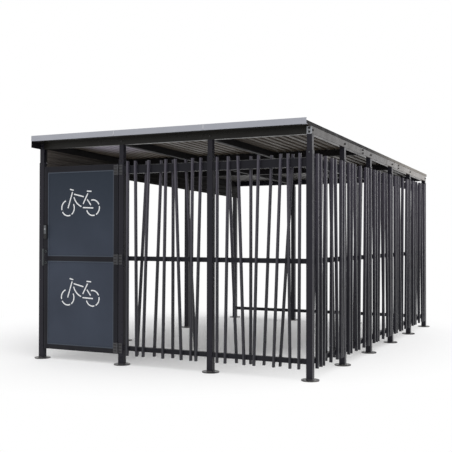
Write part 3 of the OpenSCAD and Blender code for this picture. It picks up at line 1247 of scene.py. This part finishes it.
@dataclass
class Door:
    """The door's plugged and welded frame tubes, and the beads that hold its two panels."""

    palette: Palette
    stock: TubeStock
    left_x: float = -1.463
    right_x: float = -0.537
    front_y: float = -2.380
    low_z: float = 0.108
    high_z: float = 2.019
    middle_z: float = 1.031
    head_w: float = 60 * MM
    tube_w: float = 50 * MM
    tube_d: float = 40 * MM
    panel_y: float = -2.375
    panel_t: float = 3 * MM
    bead_w: float = 11 * MM
    bead_d: float = 4.5 * MM
    rear_bead_d: float = 10 * MM
    bead_round: float = 1.6 * MM
    weld_r: float = 1.5 * MM

    @property
    def rail_rows(self) -> tuple[tuple[float, float], ...]:
        """The three rails' undersides, each with the rail's height."""
        head_z = self.high_z - self.head_w
        return (self.low_z, self.tube_w), (self.middle_z, self.tube_w), (head_z, self.head_w)

    @property
    def inner(self) -> tuple[float, float]:
        """The stiles' inner faces."""
        return self.left_x + self.tube_w, self.right_x - self.tube_w

    def build(self) -> None:
        """Builds the frame and the beads."""
        frame_tubes = Bench.joined("door_tubes", self.stiles() + self.rails())
        Bench.fit(frame_tubes, Body.DOOR, Slot.FRAME, "door_frame")
        beads = Bench.joined("panel_beads", self.panel_beads())
        Bench.fit(beads, Body.DOOR, Slot.PANEL)

    def stiles(self) -> list[Piece]:
        """Shapes the two upright tubes.

        Returns:
            The tubes.
        """
        stile = self.stock.upright(self.tube_w, self.tube_d, self.high_z - self.low_z, self.palette.fence)
        middle_y = self.front_y + self.tube_d / 2
        axes = (self.left_x + self.tube_w / 2, self.right_x - self.tube_w / 2)
        return Bench.copies(stile, [Matrix.Translation((x, middle_y, self.low_z)) for x in axes])

    def rails(self) -> list[Piece]:
        """Shapes the three level tubes and the welds at their ends.

        Returns:
            The tubes and the welds.
        """
        rear_y = self.front_y + self.tube_d
        start, stop = self.inner
        parts = []
        for foot, height in self.rail_rows:
            parts.append(self.stock.rail((start, self.front_y, foot), (stop, rear_y, foot + height)))
            welds = [Matrix.Translation((x, y, foot)) for x in self.inner for y in (self.front_y, rear_y)]
            parts += Bench.copies(self.stock.bead(self.weld_r, height), welds)
        return parts

    def panel_beads(self) -> list[Piece]:
        """Shapes the rings in front of and behind each panel.

        Returns:
            The rings.
        """
        rear_y = self.panel_y + self.panel_t
        rings = []
        for (foot, height), (high, _) in zip(self.rail_rows, self.rail_rows[1:]):
            rings.append(self.ring(self.panel_y - self.bead_d, self.panel_y, foot + height, high))
            rings.append(self.ring(rear_y, rear_y + self.rear_bead_d, foot + height, high))
        return rings

    def ring(self, y0: float, y1: float, low: float, high: float) -> Piece:
        """Shapes a rectangular ring with rounded edges.

        Args:
            y0: Its front.
            y1: Its rear.
            low: The opening's lower edge.
            high: The opening's upper edge.

        Returns:
            The ring.
        """
        start, stop = self.inner
        ring = Bench.block("ring", (start, y0, low), (stop, y1, high))
        with Bench.editing(ring):
            Bench.pick(ring, Bench.facing(Axis.Y))
            bpy.ops.mesh.inset(thickness=self.bead_w, depth=0)
            bpy.ops.mesh.bridge_edge_loops()
        inside = (start + self.bead_w / 2, stop - self.bead_w / 2)
        Bench.round_edges(
            ring, self.bead_round,
            lambda edge: not Bench.along(Axis.Y)(edge) and Bench.between(edge, Axis.X, inside)
            and Bench.between(edge, Axis.Z, (low + self.bead_w / 2, high - self.bead_w / 2)),
        )
        return Bench.dress(ring, self.palette.bead)


@dataclass
class CycleSign:
    """A white cycle in stencil strokes on each door panel, about its middle: u to the right, v up."""

    palette: Palette
    middle_x: float = -1.000
    middle_zs: tuple = (("cycle_sign_upper", 1.639), ("cycle_sign_lower", 0.712))
    panel_y: float = -2.375
    stroke: float = 12.5 * MM
    thickness: float = 0.8 * MM
    corner_r: float = 2 * MM
    arc_step: float = math.radians(9)
    least_steps: int = 3
    merge: float = 0.01 * MM
    arcs: tuple = (
        (-0.157, -0.057, 0.080, 111, 195), (-0.157, -0.057, 0.080, 210, 293),
        (-0.157, -0.057, 0.080, 306, 390), (0.157, -0.057, 0.080, 24, 105),
        (0.157, -0.057, 0.080, 199, 286), (0.157, -0.057, 0.080, 299, 371),
        (0.062, 0.0985, 0.150, 197, 251),
    )
    bars: tuple = (
        (-0.100, 0.109, -0.157, -0.059), (-0.132, 0.138, -0.086, 0.127), (-0.080, 0.086, 0.042, 0.058),
        (0.094, 0.091, 0.034, -0.017), (0.081, 0.1145, 0.138, 0.111), (0.085, 0.029, 0.132, -0.030),
        (0.032, -0.054, 0.161, -0.060),
    )

    def build(self) -> None:
        """Draws the sign once for each panel."""
        for name, middle_z in self.middle_zs:
            strokes = [self.arc(*arc) for arc in self.arcs] + [self.bar(*bar) for bar in self.bars]
            sign = Bench.dress(Bench.joined(name, strokes), self.palette.sign)
            sign.data.transform(Matrix.Translation((self.middle_x, self.panel_y, middle_z)))
            Bench.fit(sign, Body.DOOR, Slot.PANEL)

    def arc(self, u: float, v: float, radius: float, first: float, last: float) -> Piece:
        """Draws a round stroke.

        Args:
            u: The circle's middle, sideways.
            v: The circle's middle, upwards.
            radius: The stroke's middle line.
            first: The angle that it starts from, in degrees anticlockwise from the right.
            last: The angle that it ends at.

        Returns:
            The stroke.
        """
        bpy.ops.object.select_all(action="DESELECT")
        bpy.ops.mesh.primitive_plane_add(size=1)
        stroke = Bench.settled("stroke")
        sweep = math.radians(last - first)
        steps = max(self.least_steps, round(sweep / self.arc_step))
        with Bench.editing(stroke):
            bpy.ops.mesh.select_all(action="SELECT")
            bpy.ops.transform.resize(value=(self.stroke, self.thickness, 1), center_override=(0, 0, 0))
            bpy.ops.transform.translate(value=(radius, -self.thickness / 2, 0))
            bpy.ops.mesh.spin(steps=steps, angle=sweep, center=(0, 0, 0), axis=(0, 1, 0))
            bpy.ops.mesh.select_all(action="SELECT")
            bpy.ops.mesh.remove_doubles(threshold=self.merge)
            bpy.ops.mesh.normals_make_consistent(inside=False)
        stroke.data.transform(Matrix.Translation((u, 0, v)) @ Matrix.Rotation(-math.radians(first), 4, "Y"))
        return stroke

    def bar(self, u0: float, v0: float, u1: float, v1: float) -> Piece:
        """Draws a straight stroke.

        Args:
            u0: Its start, sideways.
            v0: Its start, upwards.
            u1: Its end, sideways.
            v1: Its end, upwards.

        Returns:
            The stroke.
        """
        length = math.hypot(u1 - u0, v1 - v0)
        half = (length / 2, self.thickness / 2, self.stroke / 2)
        stroke = Bench.block("stroke", [-size for size in half], half)
        Bench.round_edges(stroke, self.corner_r, Bench.along(Axis.Y))
        turn = Matrix.Rotation(-math.atan2(v1 - v0, u1 - u0), 4, "Y")
        middle = ((u0 + u1) / 2, -self.thickness / 2, (v0 + v1) / 2)
        stroke.data.transform(Matrix.Translation(middle) @ turn)
        return stroke


@dataclass
class PostTrim:
    """Weld collars at the posts' feet and clamp screws near their tops."""

    plan: Plan
    palette: Palette
    fixings: Fixings
    plate_t: float = 10 * MM
    weld_rise: float = 7 * MM
    weld_reach: float = 6 * MM
    weld_gap: float = 0.2 * MM
    clamp_drop: float = 18 * MM

    def build(self) -> None:
        """Builds the collars and the screws."""
        spots = [Matrix.Translation((*spot, 0)) for spot, _ in self.plan.outward()]
        collars = Bench.joined("foot_welds", Bench.copies(self.collar(), spots))
        Bench.fit(collars, Body.FRAME, Slot.FRAME)
        for name, coat, spots in self.clamp_rows():
            screw = self.fixings.socketed(Head.BUTTON, coat)
            screws = Bench.joined(name, Bench.copies(screw, self.clamp_places(spots)))
            Bench.fit(screws, Body.FRAME, Slot.LOCK)

    def collar(self) -> Piece:
        """Shapes the weld round a post's foot.

        Returns:
            The weld.
        """
        reach = self.plan.post_half + self.weld_reach
        top = self.plate_t + self.weld_rise
        collar = Bench.block("collar", (-reach, -reach, self.plate_t), (reach, reach, top))
        Bench.round_edges(collar, 2 * self.weld_reach, Bench.along(Axis.Z), segments=3)
        with Bench.editing(collar):
            Bench.pick(collar, Bench.facing(Axis.Z, 1))
            share = (self.plan.post_half + self.weld_gap) / reach
            bpy.ops.transform.resize(value=(share, share, 1), center_override=(0, 0, top))
        return Bench.dress(collar, self.palette.frame)

    def clamp_rows(self) -> list[tuple[str, Material, list]]:
        """Lists the screws by colour: pale on the front right corner post, dark on the others."""
        posts, corner = self.plan.outward(), self.plan.bays_wide
        return [
            ("clamp_screws", self.palette.black_bolt, posts[:corner] + posts[corner + 1:]),
            ("corner_screw", self.palette.lock, posts[corner:corner + 1]),
        ]

    def clamp_places(self, posts: list[tuple[tuple[float, float], float]]) -> list[Matrix]:
        """Places one screw on the outer face of each post.

        Args:
            posts: Pairs of a post's axis and the turn of its outer face.

        Returns:
            One matrix for each screw.
        """
        push = Matrix.Translation((0, -self.plan.post_half, self.plan.post_h - self.clamp_drop))
        return [
            Matrix.Translation((*spot, 0)) @ Matrix.Rotation(turn, 4, "Z") @ push @ FORWARD
            for spot, turn in posts
        ]


@dataclass
class Hinges:
    """Slotted holes as black slabs of painted shade, with screws, on the hinge leaves, and caps on the hinge
    pins.
    """

    palette: Palette
    fixings: Fixings
    axis_x: float = -0.5335
    axis_y: float = -2.390
    leaf_y: float = -2.384
    middle_zs: tuple = (0.168, 1.056, 1.959)
    height: float = 0.100
    slot_out: float = 31 * MM
    slot_rises: tuple = (-30 * MM, 0.0, 30 * MM)
    slot_half: tuple = (17 * MM, 0.3 * MM, 5.5 * MM)
    slot_round_share: float = 0.96
    cap_r: float = 7.2 * MM
    cap_h: float = 4 * MM
    cap_dome_share: float = 0.6

    def build(self) -> None:
        """Builds the slots and screws of both halves, and the caps."""
        for name, side, body in (("hinge_screws_door", -1, Body.DOOR), ("hinge_screws_post", 1, Body.FRAME)):
            spots = self.slot_places(side)
            screw = self.fixings.socketed(Head.SUNK, self.palette.black_bolt)
            parts = Bench.copies(self.slot(), spots) + Bench.copies(screw, [spot @ FORWARD for spot in spots])
            Bench.fit(Bench.joined(name, parts), body, Slot.HINGE)
        caps = Bench.joined("hinge_caps", Bench.copies(self.cap(), self.cap_places()))
        Bench.fit(caps, Body.FRAME, Slot.HINGE)

    def slot(self) -> Piece:
        """Shapes a slotted hole on the origin as a black slab with round ends: painted shade in the hole.

        Returns:
            The ground.
        """
        slot = Bench.block("slot", [-size for size in self.slot_half], self.slot_half)
        Bench.round_edges(slot, self.slot_round_share * self.slot_half[2], Bench.along(Axis.Y), segments=4)
        return Bench.dress(slot, self.palette.plug)

    def slot_places(self, side: int) -> list[Matrix]:
        """Places three slots on each leaf of one side."""
        x = self.axis_x + side * self.slot_out
        return [
            Matrix.Translation((x, self.leaf_y, middle + rise))
            for middle in self.middle_zs
            for rise in self.slot_rises
        ]

    def cap(self) -> Piece:
        """Shapes a domed cap on the origin.

        Returns:
            The cap.
        """
        cap = Bench.rod("cap", self.cap_r, self.cap_h, sides=16)
        Bench.round_edges(cap, self.cap_dome_share * self.cap_h, Bench.above(self.cap_h / 2), segments=3)
        return Bench.dress(cap, self.palette.hinge)

    def cap_places(self) -> list[Matrix]:
        """Places a cap on the upper and the lower end of each pin.

        Returns:
            One matrix for each cap.
        """
        places = []
        for middle in self.middle_zs:
            upper = Matrix.Translation((self.axis_x, self.axis_y, middle + self.height / 2))
            lower = Matrix.Translation((self.axis_x, self.axis_y, middle - self.height / 2))
            places += [upper, lower @ Matrix.Rotation(math.pi, 4, "X")]
        return places


@dataclass
class Lock:
    """Lock case with a grey face plate, a key cylinder and an inner plate with a thumb turn."""

    palette: Palette
    middle_x: float = -1.435
    front_y: float = -2.380
    rear_y: float = -2.340
    low_z: float = 1.264
    high_z: float = 1.406
    width: float = 40 * MM
    reach: float = 22 * MM
    corner_r: float = 5.5 * MM
    rim: float = 2.2 * MM
    plate_w: float = 27 * MM
    plate_low: float = 1.315
    plate_t: float = 1.2 * MM
    plate_r: float = 4 * MM
    plate_gap: float = 1 * MM
    plate_rim_share: float = 0.4
    key_z: float = 1.365
    key_r: float = 8.5 * MM
    key_h: float = 2.4 * MM
    key_shares: Shares = ((0.12, 0.2), (0.14, -0.25))
    slot_w: float = 2.2 * MM
    slot_h: float = 8.5 * MM
    slot_proud: float = 0.1 * MM
    slot_round_share: float = 0.4
    inner_t: float = 3 * MM
    inner_rim_share: float = 0.5
    turn_w: float = 9 * MM
    turn_h: float = 26 * MM
    turn_reach: float = 14 * MM
    turn_round_share: float = 0.45
    turn_rim_share: float = 0.2

    def build(self) -> None:
        """Builds the lock in the place of its CAD node."""
        parts = [self.case(), self.plate(), self.cylinder(), self.slot(), *self.inner_side()]
        Bench.fit(Bench.joined("door_lock", parts), Body.DOOR, Slot.LOCK, "lock_case")

    @property
    def face_y(self) -> float:
        """The case's front."""
        return self.front_y - self.reach

    def slab(self, name: str, width: float, ys: Span, zs: Span, radius: float) -> Piece:
        """Shapes a slab with round corners on the lock's middle line.

        Args:
            name: Its name.
            width: Its width.
            ys: Its front and rear.
            zs: Its lower and upper end.
            radius: The corners' radius.

        Returns:
            The slab.
        """
        low = (self.middle_x - width / 2, ys[0], zs[0])
        slab = Bench.block(name, low, (self.middle_x + width / 2, ys[1], zs[1]))
        Bench.round_edges(slab, radius, Bench.along(Axis.Y), segments=4)
        return slab

    def soften(self, piece: Piece, side: int, rim: float) -> None:
        """Chamfers the edge of a slab's front or rear.

        Args:
            piece: The slab.
            side: -1 for its front, 1 for its rear.
            rim: The chamfer's size.
        """
        with Bench.editing(piece):
            Bench.pick(piece, Bench.facing(Axis.Y, side))
            bpy.ops.transform.translate(value=(0, -side * rim, 0))
            bpy.ops.mesh.inset(thickness=rim, depth=rim)

    def case(self) -> Piece:
        """Shapes the black case with a chamfered front.

        Returns:
            The case.
        """
        ys = (self.face_y, self.front_y)
        case = self.slab("case", self.width, ys, (self.low_z, self.high_z), self.corner_r)
        self.soften(case, -1, self.rim)
        return Bench.dress(case, self.palette.lock_case)

    def plate(self) -> Piece:
        """Shapes the grey plate on the upper part of the front.

        Returns:
            The plate.
        """
        ys = (self.face_y - self.plate_t, self.face_y)
        zs = (self.plate_low, self.high_z - self.rim - self.plate_gap)
        plate = self.slab("plate", self.plate_w, ys, zs, self.plate_r)
        self.soften(plate, -1, self.plate_rim_share * self.plate_t)
        return Bench.dress(plate, self.palette.lock)

    def cylinder(self) -> Piece:
        """Shapes the round key cylinder with a dished face.

        Returns:
            The cylinder.
        """
        key = Bench.rod("cylinder", self.key_r, self.key_h, sides=24)
        Bench.stepped(key, 1, self.key_shares, self.key_r, self.key_h)
        front = Matrix.Translation((self.middle_x, self.face_y - self.plate_t, self.key_z))
        key.data.transform(front @ FORWARD)
        return Bench.dress(key, self.palette.zinc)

    def slot(self) -> Piece:
        """Shapes the keyway as a black slab: painted shade in the key slot.

        Returns:
            The keyway.
        """
        front = self.face_y - self.plate_t - self.key_h
        zs = (self.key_z - self.slot_h / 2, self.key_z + self.slot_h / 2)
        ys = (front - self.slot_proud, front + self.key_h)
        slot = self.slab("keyway", self.slot_w, ys, zs, self.slot_round_share * self.slot_w)
        return Bench.dress(slot, self.palette.plug)

    def inner_side(self) -> list[Piece]:
        """Shapes the plate and the thumb turn on the door's inner side.

        Returns:
            The plate and the thumb turn.
        """
        ys = (self.rear_y, self.rear_y + self.inner_t)
        plate = self.slab("inner_plate", self.width, ys, (self.low_z, self.high_z), self.corner_r)
        self.soften(plate, 1, self.inner_rim_share * self.inner_t)
        ys = (ys[1], ys[1] + self.turn_reach)
        zs = (self.key_z - self.turn_h / 2, self.key_z + self.turn_h / 2)
        turn = self.slab("thumb_turn", self.turn_w, ys, zs, self.turn_round_share * self.turn_w)
        self.soften(turn, 1, self.turn_rim_share * self.turn_w)
        return [Bench.dress(plate, self.palette.lock_case), Bench.dress(turn, self.palette.lock)]


@dataclass
class PullHandle:
    """Round upright grip with domed ends, on two stand-off bars with roses."""

    palette: Palette
    x: float = -1.438
    front_y: float = -2.380
    low_z: float = 0.980
    height: float = 0.180
    inset: float = 30 * MM
    grip_r: float = 10 * MM
    dome_share: float = 0.8
    bar_r: float = 7 * MM
    bar_bite_share: float = 0.6
    neck_shares: Shares = ((0.15, 0.25),)
    reach: float = 46 * MM
    rose_r: float = 14 * MM
    rose_h: float = 4 * MM
    rose_round_share: float = 0.5

    def build(self) -> None:
        """Builds the handle in the place of its CAD node."""
        feet = [
            Matrix.Translation((self.x, self.front_y, z)) @ FORWARD
            for z in (self.low_z + self.inset, self.low_z + self.height - self.inset)
        ]
        parts = [self.grip(), *Bench.copies(self.bar(), feet), *Bench.copies(self.rose(), feet)]
        handle = Bench.dress(Bench.joined("door_handle", parts), self.palette.handle)
        Bench.fit(handle, Body.DOOR, Slot.LOCK, "pull_handle")

    def grip(self) -> Piece:
        """Shapes the grip.

        Returns:
            The grip.
        """
        foot = (self.x, self.front_y - self.reach, self.low_z)
        grip = Bench.rod("grip", self.grip_r, self.height, sides=24, foot=foot)
        upright = Bench.along(Axis.Z)
        Bench.round_edges(grip, self.dome_share * self.grip_r, lambda edge: not upright(edge), segments=4)
        return grip

    def bar(self) -> Piece:
        """Shapes a stand-off bar on the origin, with a neck at the grip.

        Returns:
            The bar.
        """
        length = self.reach - self.bar_bite_share * self.grip_r
        bar = Bench.rod("bar", self.bar_r, length, sides=18)
        return Bench.stepped(bar, 1, self.neck_shares, self.bar_r, self.bar_r)

    def rose(self) -> Piece:
        """Shapes the round plate under a stand-off bar.

        Returns:
            The rose.
        """
        rose = Bench.rod("rose", self.rose_r, self.rose_h, sides=24)
        Bench.round_edges(rose, self.rose_round_share * self.rose_h, Bench.above(self.rose_h / 2), segments=3)
        return rose


@dataclass
class RoofPlane:
    """The roof frame's own axes: x, s along the fall to the rear, and n square to the deck."""

    plan: Plan
    beam_z: float = 2.210
    fall: float = 0.118
    beam_half: float = 25 * MM
    beam_h: float = 70 * MM

    @property
    def angle(self) -> float:
        """The fall as an angle."""
        return math.atan2(self.fall, self.plan.run)

    @property
    def length(self) -> float:
        """Distance from the front beam's axis to the rear beam's axis."""
        return self.plan.run / math.cos(self.angle)

    @property
    def purlins(self) -> list[float]:
        """Places of the purlins."""
        return [i * self.length / self.plan.left_bays for i in range(1, self.plan.left_bays)]

    def along(self, y: float) -> float:
        """Gives the place along the fall that is over a place on the ground."""
        return (y - self.plan.front_y) / math.cos(self.angle)

    def place(self) -> Matrix:
        """Gives the matrix from the roof's axes to the frame's."""
        return Matrix.Translation((0, self.plan.front_y, self.beam_z)) @ Matrix.Rotation(-self.angle, 4, "X")


@dataclass
class RoofTrim:
    """Bolts, end plates, angle cleats, deck screws, the left header's screws and three closers."""

    palette: Palette
    fixings: Fixings
    roof: RoofPlane
    pair_ns: tuple = (18 * MM, 52 * MM)
    plate_t: float = 4 * MM
    plate_round: float = 4 * MM
    plate_rim: float = 0.8 * MM
    cleat_round: float = 8 * MM
    cleat_leg: float = 42 * MM
    cleat_h: float = 50 * MM
    cleat_foot: float = 10 * MM
    cleat_bolt: float = 26 * MM
    deck_n: float = 72 * MM
    deck_half_w: float = 1.523
    ribs: int = 36
    screw_step: int = 3
    header_x: float = -1.468
    header_n: float = -0.1233
    header_pair: tuple = (-15 * MM, 15 * MM)
    soffit_end: tuple = ((-1.525, -0.168, 1 * MM), (-1.522, -0.0295, 68 * MM))
    soffit_lip: tuple = ((-1.523, -0.167, 62 * MM), (-1.468, -0.0295, 66 * MM))
    header_end: tuple = ((-1.4747, 4 * MM, -0.142), (-1.459, 17.5 * MM, -1 * MM))
    closer_rounds: tuple = (5 * MM, 1 * MM, 4 * MM)

    def build(self) -> None:
        """Builds every fixing of the roof."""
        places = self.rafter_places() + self.beam_places()
        self.fix("rafter_bolts", self.bolts(Head.FRAME_BOLT, places), Slot.FRAME)
        self.fix("rafter_ends", self.end_plates(), Slot.FLASHING)
        self.fix("beam_cleats", self.cleats(), Slot.FRAME)
        self.fix("deck_screws", self.bolts(Head.DECK_SCREW, self.deck_places()), Slot.DECK)
        screw = self.fixings.socketed(Head.BUTTON, self.palette.black_bolt)
        self.fix("header_screws", Bench.copies(screw, self.header_places()), Slot.FRAME)
        self.fix("roof_closers", self.closers(), Slot.FRAME)

    def fix(self, name: str, parts: list[Piece], slot: Slot) -> None:
        """Joins parts that were made in the roof's axes, and sets them in the frame.

        Args:
            name: The piece's name.
            parts: Its parts.
            slot: The record's slot that its finish comes from.
        """
        piece = Bench.joined(name, parts)
        piece.data.transform(self.roof.place())
        Bench.fit(piece, Body.FRAME, slot)

    def closers(self) -> list[Piece]:
        """Shapes the angle at the overhang's left end, and the strip at the header's front end.

        Returns:
            The closers.
        """
        shapes = (self.soffit_end, self.soffit_lip, self.header_end)
        plates = []
        for corners, axis, radius in zip(shapes, Axis, self.closer_rounds):
            plate = Bench.block("closer", *corners)
            Bench.round_edges(plate, radius, Bench.along(axis), segments=3)
            plates.append(Bench.dress(plate, self.palette.inner))
        return plates

    def bolts(self, head: Head, places: Places) -> list[Piece]:
        """Copies one dark hexagon bolt to its places."""
        return Bench.copies(self.fixings.hexagon(head, self.palette.black_bolt), places)

    @staticmethod
    def facing(axis: Axis, side: int) -> Matrix:
        """Gives the turn of a bolt from +z to a direction along x or y.

        Args:
            axis: The axis that it faces along.
            side: 1 or -1 for the direction.

        Returns:
            The turn.
        """
        if axis is Axis.X:
            return Matrix.Rotation(side * math.pi / 2, 4, "Y")
        return Matrix.Rotation(-side * math.pi / 2, 4, "X")

    def rafter_places(self) -> list[Matrix]:
        """Places the bolts on the outer rafters: one over each post, two at each purlin.

        Returns:
            One matrix for each bolt.
        """
        plan, roof = self.roof.plan, self.roof
        rights = [roof.along(plan.right_spot(i)[1]) for i in range(plan.bays_deep + 1)]
        lefts = [roof.along(plan.left_spot(i)[1]) for i in (0, plan.left_bays)]
        places = []
        for side, spots in ((1, rights), (-1, lefts)):
            rows = [(s, roof.beam_h / 2) for s in spots]
            rows += [(s, n) for s in roof.purlins for n in self.pair_ns]
            face = side * (plan.half_w + roof.beam_half)
            places += [Matrix.Translation((face, s, n)) @ self.facing(Axis.X, side) for s, n in rows]
        return places

    def beam_places(self) -> list[Matrix]:
        """Places the bolts on the front and rear beams over the inner posts.

        Returns:
            One matrix for each bolt.
        """
        plan, roof = self.roof.plan, self.roof
        places = []
        for side, s in ((-1, -roof.beam_half), (1, roof.length + roof.beam_half)):
            turn = self.facing(Axis.Y, side)
            inner = range(1, plan.bays_wide)
            places += [Matrix.Translation((plan.front_spot(i)[0], s, roof.beam_h / 2)) @ turn for i in inner]
        return places

    def end_plates(self) -> list[Piece]:
        """Shapes the plates on the outer rafters' ends, pale on the right, each with two bolts.

        Returns:
            The plates and the bolts.
        """
        roof = self.roof
        parts, bolts = [], []
        for x, coat in ((-roof.plan.half_w, self.palette.frame), (roof.plan.half_w, self.palette.end_plate)):
            for side, s in ((-1, -roof.beam_half), (1, roof.length + roof.beam_half)):
                ys = sorted((s, s + side * self.plate_t))
                plate = Bench.block(
                    "plate", (x - roof.beam_half, ys[0], 0), (x + roof.beam_half, ys[1], roof.beam_h)
                )
                Bench.round_edges(plate, self.plate_round, Bench.along(Axis.Y), segments=3)
                Bench.round_edges(
                    plate, self.plate_rim,
                    lambda edge: all(abs(v.co.y - s) > self.plate_t / 2 for v in edge.verts),
                    segments=1,
                )
                parts.append(Bench.dress(plate, coat))
                turn = self.facing(Axis.Y, side)
                bolts += [Matrix.Translation((x, s + side * self.plate_t, n)) @ turn for n in self.pair_ns]
        return parts + self.bolts(Head.FRAME_BOLT, bolts)

    def cleat(self) -> Piece:
        """Shapes an upright angle with its corner on the origin and its legs along +x and +y.

        Returns:
            The angle.
        """
        t, foot = self.plate_t, self.cleat_foot
        angle = Bench.block("cleat", (0, 0, foot), (t, t, foot + self.cleat_h))
        with Bench.editing(angle):
            Bench.pick(angle, Bench.facing(Axis.X, 1))
            bpy.ops.mesh.extrude_region_move(TRANSFORM_OT_translate={"value": (self.cleat_leg - t, 0, 0)})
            Bench.pick(angle, lambda f: f.normal.y > ALIGNED and f.calc_center_median().x < t)
            bpy.ops.mesh.extrude_region_move(TRANSFORM_OT_translate={"value": (0, self.cleat_leg - t, 0)})
        Bench.round_edges(
            angle, self.cleat_round,
            lambda edge: edge.calc_length() < 1.5 * t and max(max(v.co.x, v.co.y) for v in edge.verts) > 2 * t
            and not Bench.along(Axis.Z)(edge),
            segments=3,
        )
        return Bench.dress(angle, self.palette.frame)

    def cleats(self) -> list[Piece]:
        """Copies the angle to both ends of every cross beam, with a bolt on each leg.

        Returns:
            The angles and the bolts.
        """
        roof, plan = self.roof, self.roof.plan
        corners = []
        for i in range(plan.bays_wide):
            left = plan.front_spot(i)[0] + roof.beam_half
            right = plan.front_spot(i + 1)[0] - roof.beam_half
            for s in (0, *roof.purlins):
                corners += [(left, s + roof.beam_half, 0), (right, s + roof.beam_half, 1)]
            corners += [(left, roof.length - roof.beam_half, 3), (right, roof.length - roof.beam_half, 2)]
        places = [
            Matrix.Translation((x, s, 0)) @ Matrix.Rotation(quarters * math.pi / 2, 4, "Z")
            for x, s, quarters in corners
        ]
        middle = self.cleat_foot + self.cleat_h / 2
        on_legs = (
            Matrix.Translation((self.cleat_bolt, self.plate_t, middle)) @ self.facing(Axis.Y, 1),
            Matrix.Translation((self.plate_t, self.cleat_bolt, middle)) @ self.facing(Axis.X, 1),
        )
        bolts = self.bolts(Head.CLEAT_BOLT, [place @ leg for place in places for leg in on_legs])
        return Bench.copies(self.cleat(), places) + bolts

    def deck_places(self) -> list[Matrix]:
        """Places a screw in every third valley of the deck over each cross beam.

        Returns:
            One matrix for each screw.
        """
        pitch = 2 * self.deck_half_w / self.ribs
        xs = [rib * pitch - self.deck_half_w for rib in range(self.screw_step, self.ribs, self.screw_step)]
        rows = (0, *self.roof.purlins, self.roof.length)
        return [Matrix.Translation((x, s, self.deck_n)) for s in rows for x in xs]

    def header_places(self) -> list[Matrix]:
        """Places two of the header's screws on each left post.

        Returns:
            One matrix for each screw.
        """
        plan = self.roof.plan
        spots = [self.roof.along(plan.left_spot(i)[1]) for i in range(1, plan.left_bays + 1)]
        turn = self.facing(Axis.X, 1)
        return [
            Matrix.Translation((self.header_x, s + shift, self.header_n)) @ turn
            for s in spots
            for shift in self.header_pair
        ]


def coat_nodes(palette: Palette) -> None:
    """Gives each CAD node its material, by the start of its name, or the frame's coat.

    Args:
        palette: The materials.
    """
    coats = {
        "deck_left": palette.highlit_deck,
        "deck_": palette.deck,
        "left_header": palette.header,
        "front_flashing": palette.flashing,
        "front_": palette.lintel,
        "door_panel": palette.panel,
        "hinge_": palette.hinge,
        "rafter_right": palette.beam,
        "rafter_": palette.inner,
        "verge_": palette.verge,
        "purlin": palette.inner,
    }
    for name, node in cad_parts.items():
        coat = next((coats[start] for start in coats if name.startswith(start)), palette.frame)
        Bench.dress(node, coat)


def main() -> None:
    """Builds the stage and every sub-assembly in order."""
    logging.basicConfig(level=logging.INFO, format="%(name)s %(message)s")
    palette = Palette()
    plan = Plan()
    fixings = Fixings()
    stock = TubeStock(palette)
    Studio().build()
    coat_nodes(palette)
    Fence(plan, stock).build()
    RearRails(plan, stock).build()
    PostTrim(plan, palette, fixings).build()
    Door(palette, stock).build()
    CycleSign(palette).build()
    Hinges(palette, fixings).build()
    Lock(palette).build()
    PullHandle(palette).build()
    RoofTrim(palette, fixings, RoofPlane(plan)).build()


if __name__ == "__main__":
    main()
